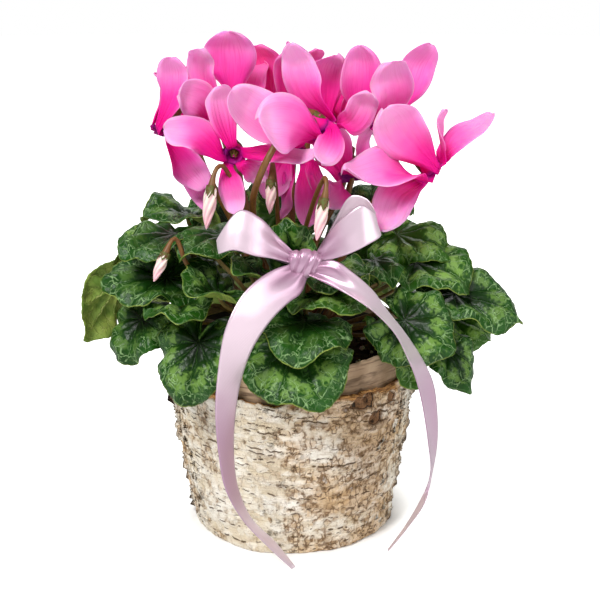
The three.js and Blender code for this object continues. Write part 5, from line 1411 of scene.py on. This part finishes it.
def strip(stations, pleats, ends):
    """A strip through stations, each its left and right edge, pleated at the ends in the knot."""
    t = np.linspace(0, 1, len(stations))
    edges = []
    for points in zip(*stations):
        edge = Run(points)
        where = [np.argmin(np.linalg.norm(edge.line - point, axis=1)) for point in points]
        share = np.interp(np.linspace(0, 1, STRIP_ROWS), t, edge.far[where] / edge.length)
        edges.append((edge.at(share), share * edge.length))
    (a, long), (b, _) = edges
    v = np.linspace(0, 1, STRIP_COLUMNS)[None, :, None]
    points = a[:, None] * (1 - v) + b[:, None] * v
    along = np.gradient(points, axis=0)
    normal = unit(np.cross(along, b[:, None] - a[:, None]) + 1e-12)
    s = np.linspace(0, 1, STRIP_ROWS)[:, None]
    held = np.exp(-s / 0.1) * ends[0] + np.exp(-(1 - s) / 0.1) * ends[1]
    wide = np.linalg.norm(b - a, axis=1)[:, None] / RIBBON_WIDTH
    pleat = np.cos(pleats * np.pi * v[..., 0])
    across = 2 * v[..., 0] - 1
    lift = 1.3 * held * pleat + 0.5 * (1 - across**2) * wide
    flat = (points + normal * lift[..., None]).reshape(-1, 3)
    thin = np.full(len(flat), 0.16)
    faces = band(STRIP_ROWS, STRIP_COLUMNS, closed=False)
    both, faces = shell(flat, faces, sheet_rim(STRIP_ROWS, STRIP_COLUMNS), thin, thin)
    # Painted shade near the knot: darkest where the strip enters it, and deeper in the valleys of the
    # pleats.
    shade = np.clip(held - 0.25 * pleat, 0, 1) * np.minimum(held * 4, 1)
    facts = dict(across=np.tile((across + 0 * s).ravel(), 2),
                 long=np.tile(np.repeat(long, STRIP_COLUMNS), 2), held=np.tile(shade.ravel(), 2))
    return dict(points=both, faces=faces, look=satin, facts=facts)


# Each strip's points, how many pleats it has, at which ends, its flat length in metres, the share
# of its area that is kept, and what it rests on.
STRIPS = [
    ("tail_left", TAIL_LEFT, 3, (1, 0), 0.207, 0.85, ["ribbon_knot", "bark_outer"]),
    ("tail_right", TAIL_RIGHT, 3, (1, 0), 0.207, 0.75, ["ribbon_knot"]),
    ("loop_left", LOOP_LEFT, 4, (1, 1), 0.110, 0.75, ["ribbon_knot"]),
    ("loop_right", LOOP_RIGHT, 4, (1, 1), 0.105, 0.75, ["ribbon_knot"]),
]
for name, stations, pleats, ends, length, kept, holders in STRIPS:
    made = piece("satin_" + name, ["ribbon_" + name], [strip(stations, pleats, ends)])

# The knot is a puffed barrel, one strip wound round the middle, with slanted folds across it.
KNOT_TURNS = 64
KNOT_ROWS = 61
a = np.arange(KNOT_TURNS)[None] * CIRCLE / KNOT_TURNS
t = np.linspace(-1, 1, KNOT_ROWS)[:, None]
full = (1 - np.abs(t) ** 5) ** 0.5
folds = [np.exp(-(((t - place - slant * np.sin(a)) / 0.1) ** 2))
         for place, slant in ((-0.5, 0.2), (0.08, 0.36), (0.6, 0.16))]
pleat = 1.04 - 0.13 * sum(folds) + 0.03 * np.cos(3 * t + 2 * a)
across = KNOT["width"] / 2 * (t + 0.1 * np.sin(a) * t + 0.06 * np.sin(2 * a))
deep = KNOT["depth"] / 2 * full * pleat * np.cos(a)
tall = KNOT["height"] / 2 * full * pleat * np.sin(a) * (1 + 0.1 * np.cos(np.pi * t))
points = np.stack([across + 0 * deep, -deep, tall], axis=-1).reshape(-1, 3) + KNOT["place"]
# Its first and last rows come to a point, so only one point of each is kept.
used = np.arange(KNOT_TURNS - 1, (KNOT_ROWS - 1) * KNOT_TURNS + 1)
used[0] = 0
points = points[used]
last = len(points) - 1 - KNOT_TURNS
turns = range(KNOT_TURNS)
faces = band(KNOT_ROWS - 2, KNOT_TURNS, start=1)
faces += [(0, 1 + (c + 1) % KNOT_TURNS, 1 + c) for c in turns]
faces += [(last + KNOT_TURNS, last + c, last + (c + 1) % KNOT_TURNS) for c in turns]
# Painted shade: the whole knot is darkened a little, and more in its creases.
crease = np.clip(sum(folds), 0, 1).ravel()[used]
facts = dict(across=0 * crease, long=used // KNOT_TURNS * 0.3, held=0.3 + 0.7 * crease)
piece("satin_knot", ["ribbon_knot"],
      [dict(points=points, faces=faces, look=satin, facts=facts)])


# ---- floor and light
# A white table top without edges. One large soft lamp stands at the upper left, a weaker one at
# the right and one behind, under a pale sky.
FLOOR_TURNS = 64
radii = np.array([0.05, 0.058, 0.062, 0.066, 0.07, 0.076, 0.084, 0.1, 0.14, 0.2, 0.3, 0.6, 5.0])
turn = np.arange(FLOOR_TURNS) * CIRCLE / FLOOR_TURNS
spread = wheel(radii[:, None], turn, 0 * radii[:, None])
floor_data = bpy.data.meshes.new("table_top")
faces = [tuple(reversed(range(FLOOR_TURNS)))] + band(len(radii), FLOOR_TURNS)
floor_data.from_pydata(spread.reshape(-1, 3).tolist(), [], faces)
far = floor_data.attributes.new("far", "FLOAT", "POINT")
far.data.foreach_set("value", np.repeat(radii, FLOOR_TURNS))
floor = bpy.data.objects.new("table_top", floor_data)
scene.collection.objects.link(floor)
white = Finish("table_white", Base_Color="#fafafa", Roughness=0.8, Specular_IOR_Level=0.05)
white.give("Emission Color", "#ffffff")
# The floor glows, seen only from the camera, more the further it is from the planter: not at all at its
# foot, to half by 78 mm out and fully by 250 mm. The darker ring this leaves round the foot is a
# painted contact shadow.
near = white.span(white.fact("far"), 0.06, 0.078, 0, 0.5)
shine = white.maths("ADD", near, white.span(white.fact("far"), 0.08, 0.25, 0, 0.5))
seen = white.node("LightPath").outputs["Is Camera Ray"]
white.give("Emission Strength", white.times(shine, seen))
floor_data.materials.append(white.material)


def lamp(name, place, size, power):
    """A square lamp that looks at the planter's foot."""
    made = bpy.data.objects.new(name, bpy.data.lights.new(name, "AREA"))
    made.data.size = size
    made.data.energy = power
    made.location = place
    made.rotation_euler = (-made.location).to_track_quat("-Z", "Y").to_euler()
    scene.collection.objects.link(made)


lamp("key", (-0.6, -1.0, 1.4), 0.5, 27)
lamp("fill", (1.1, -1.0, 0.7), 0.8, 8)
lamp("back", (0.2, 1.3, 1.2), 0.9, 9)
scene.world = bpy.data.worlds.new("studio")
scene.world.use_nodes = True
air = scene.world.node_tree.nodes["Background"]
air.inputs["Color"].default_value = hue("#ffffff")
sight = scene.world.node_tree.nodes.new("ShaderNodeLightPath")
bright = scene.world.node_tree.nodes.new("ShaderNodeMapRange")
bright.inputs["To Min"].default_value = 0.3
bright.inputs["To Max"].default_value = 1.0
scene.world.node_tree.links.new(sight.outputs["Is Camera Ray"], bright.inputs["Value"])
scene.world.node_tree.links.new(bright.outputs[0], air.inputs["Strength"])
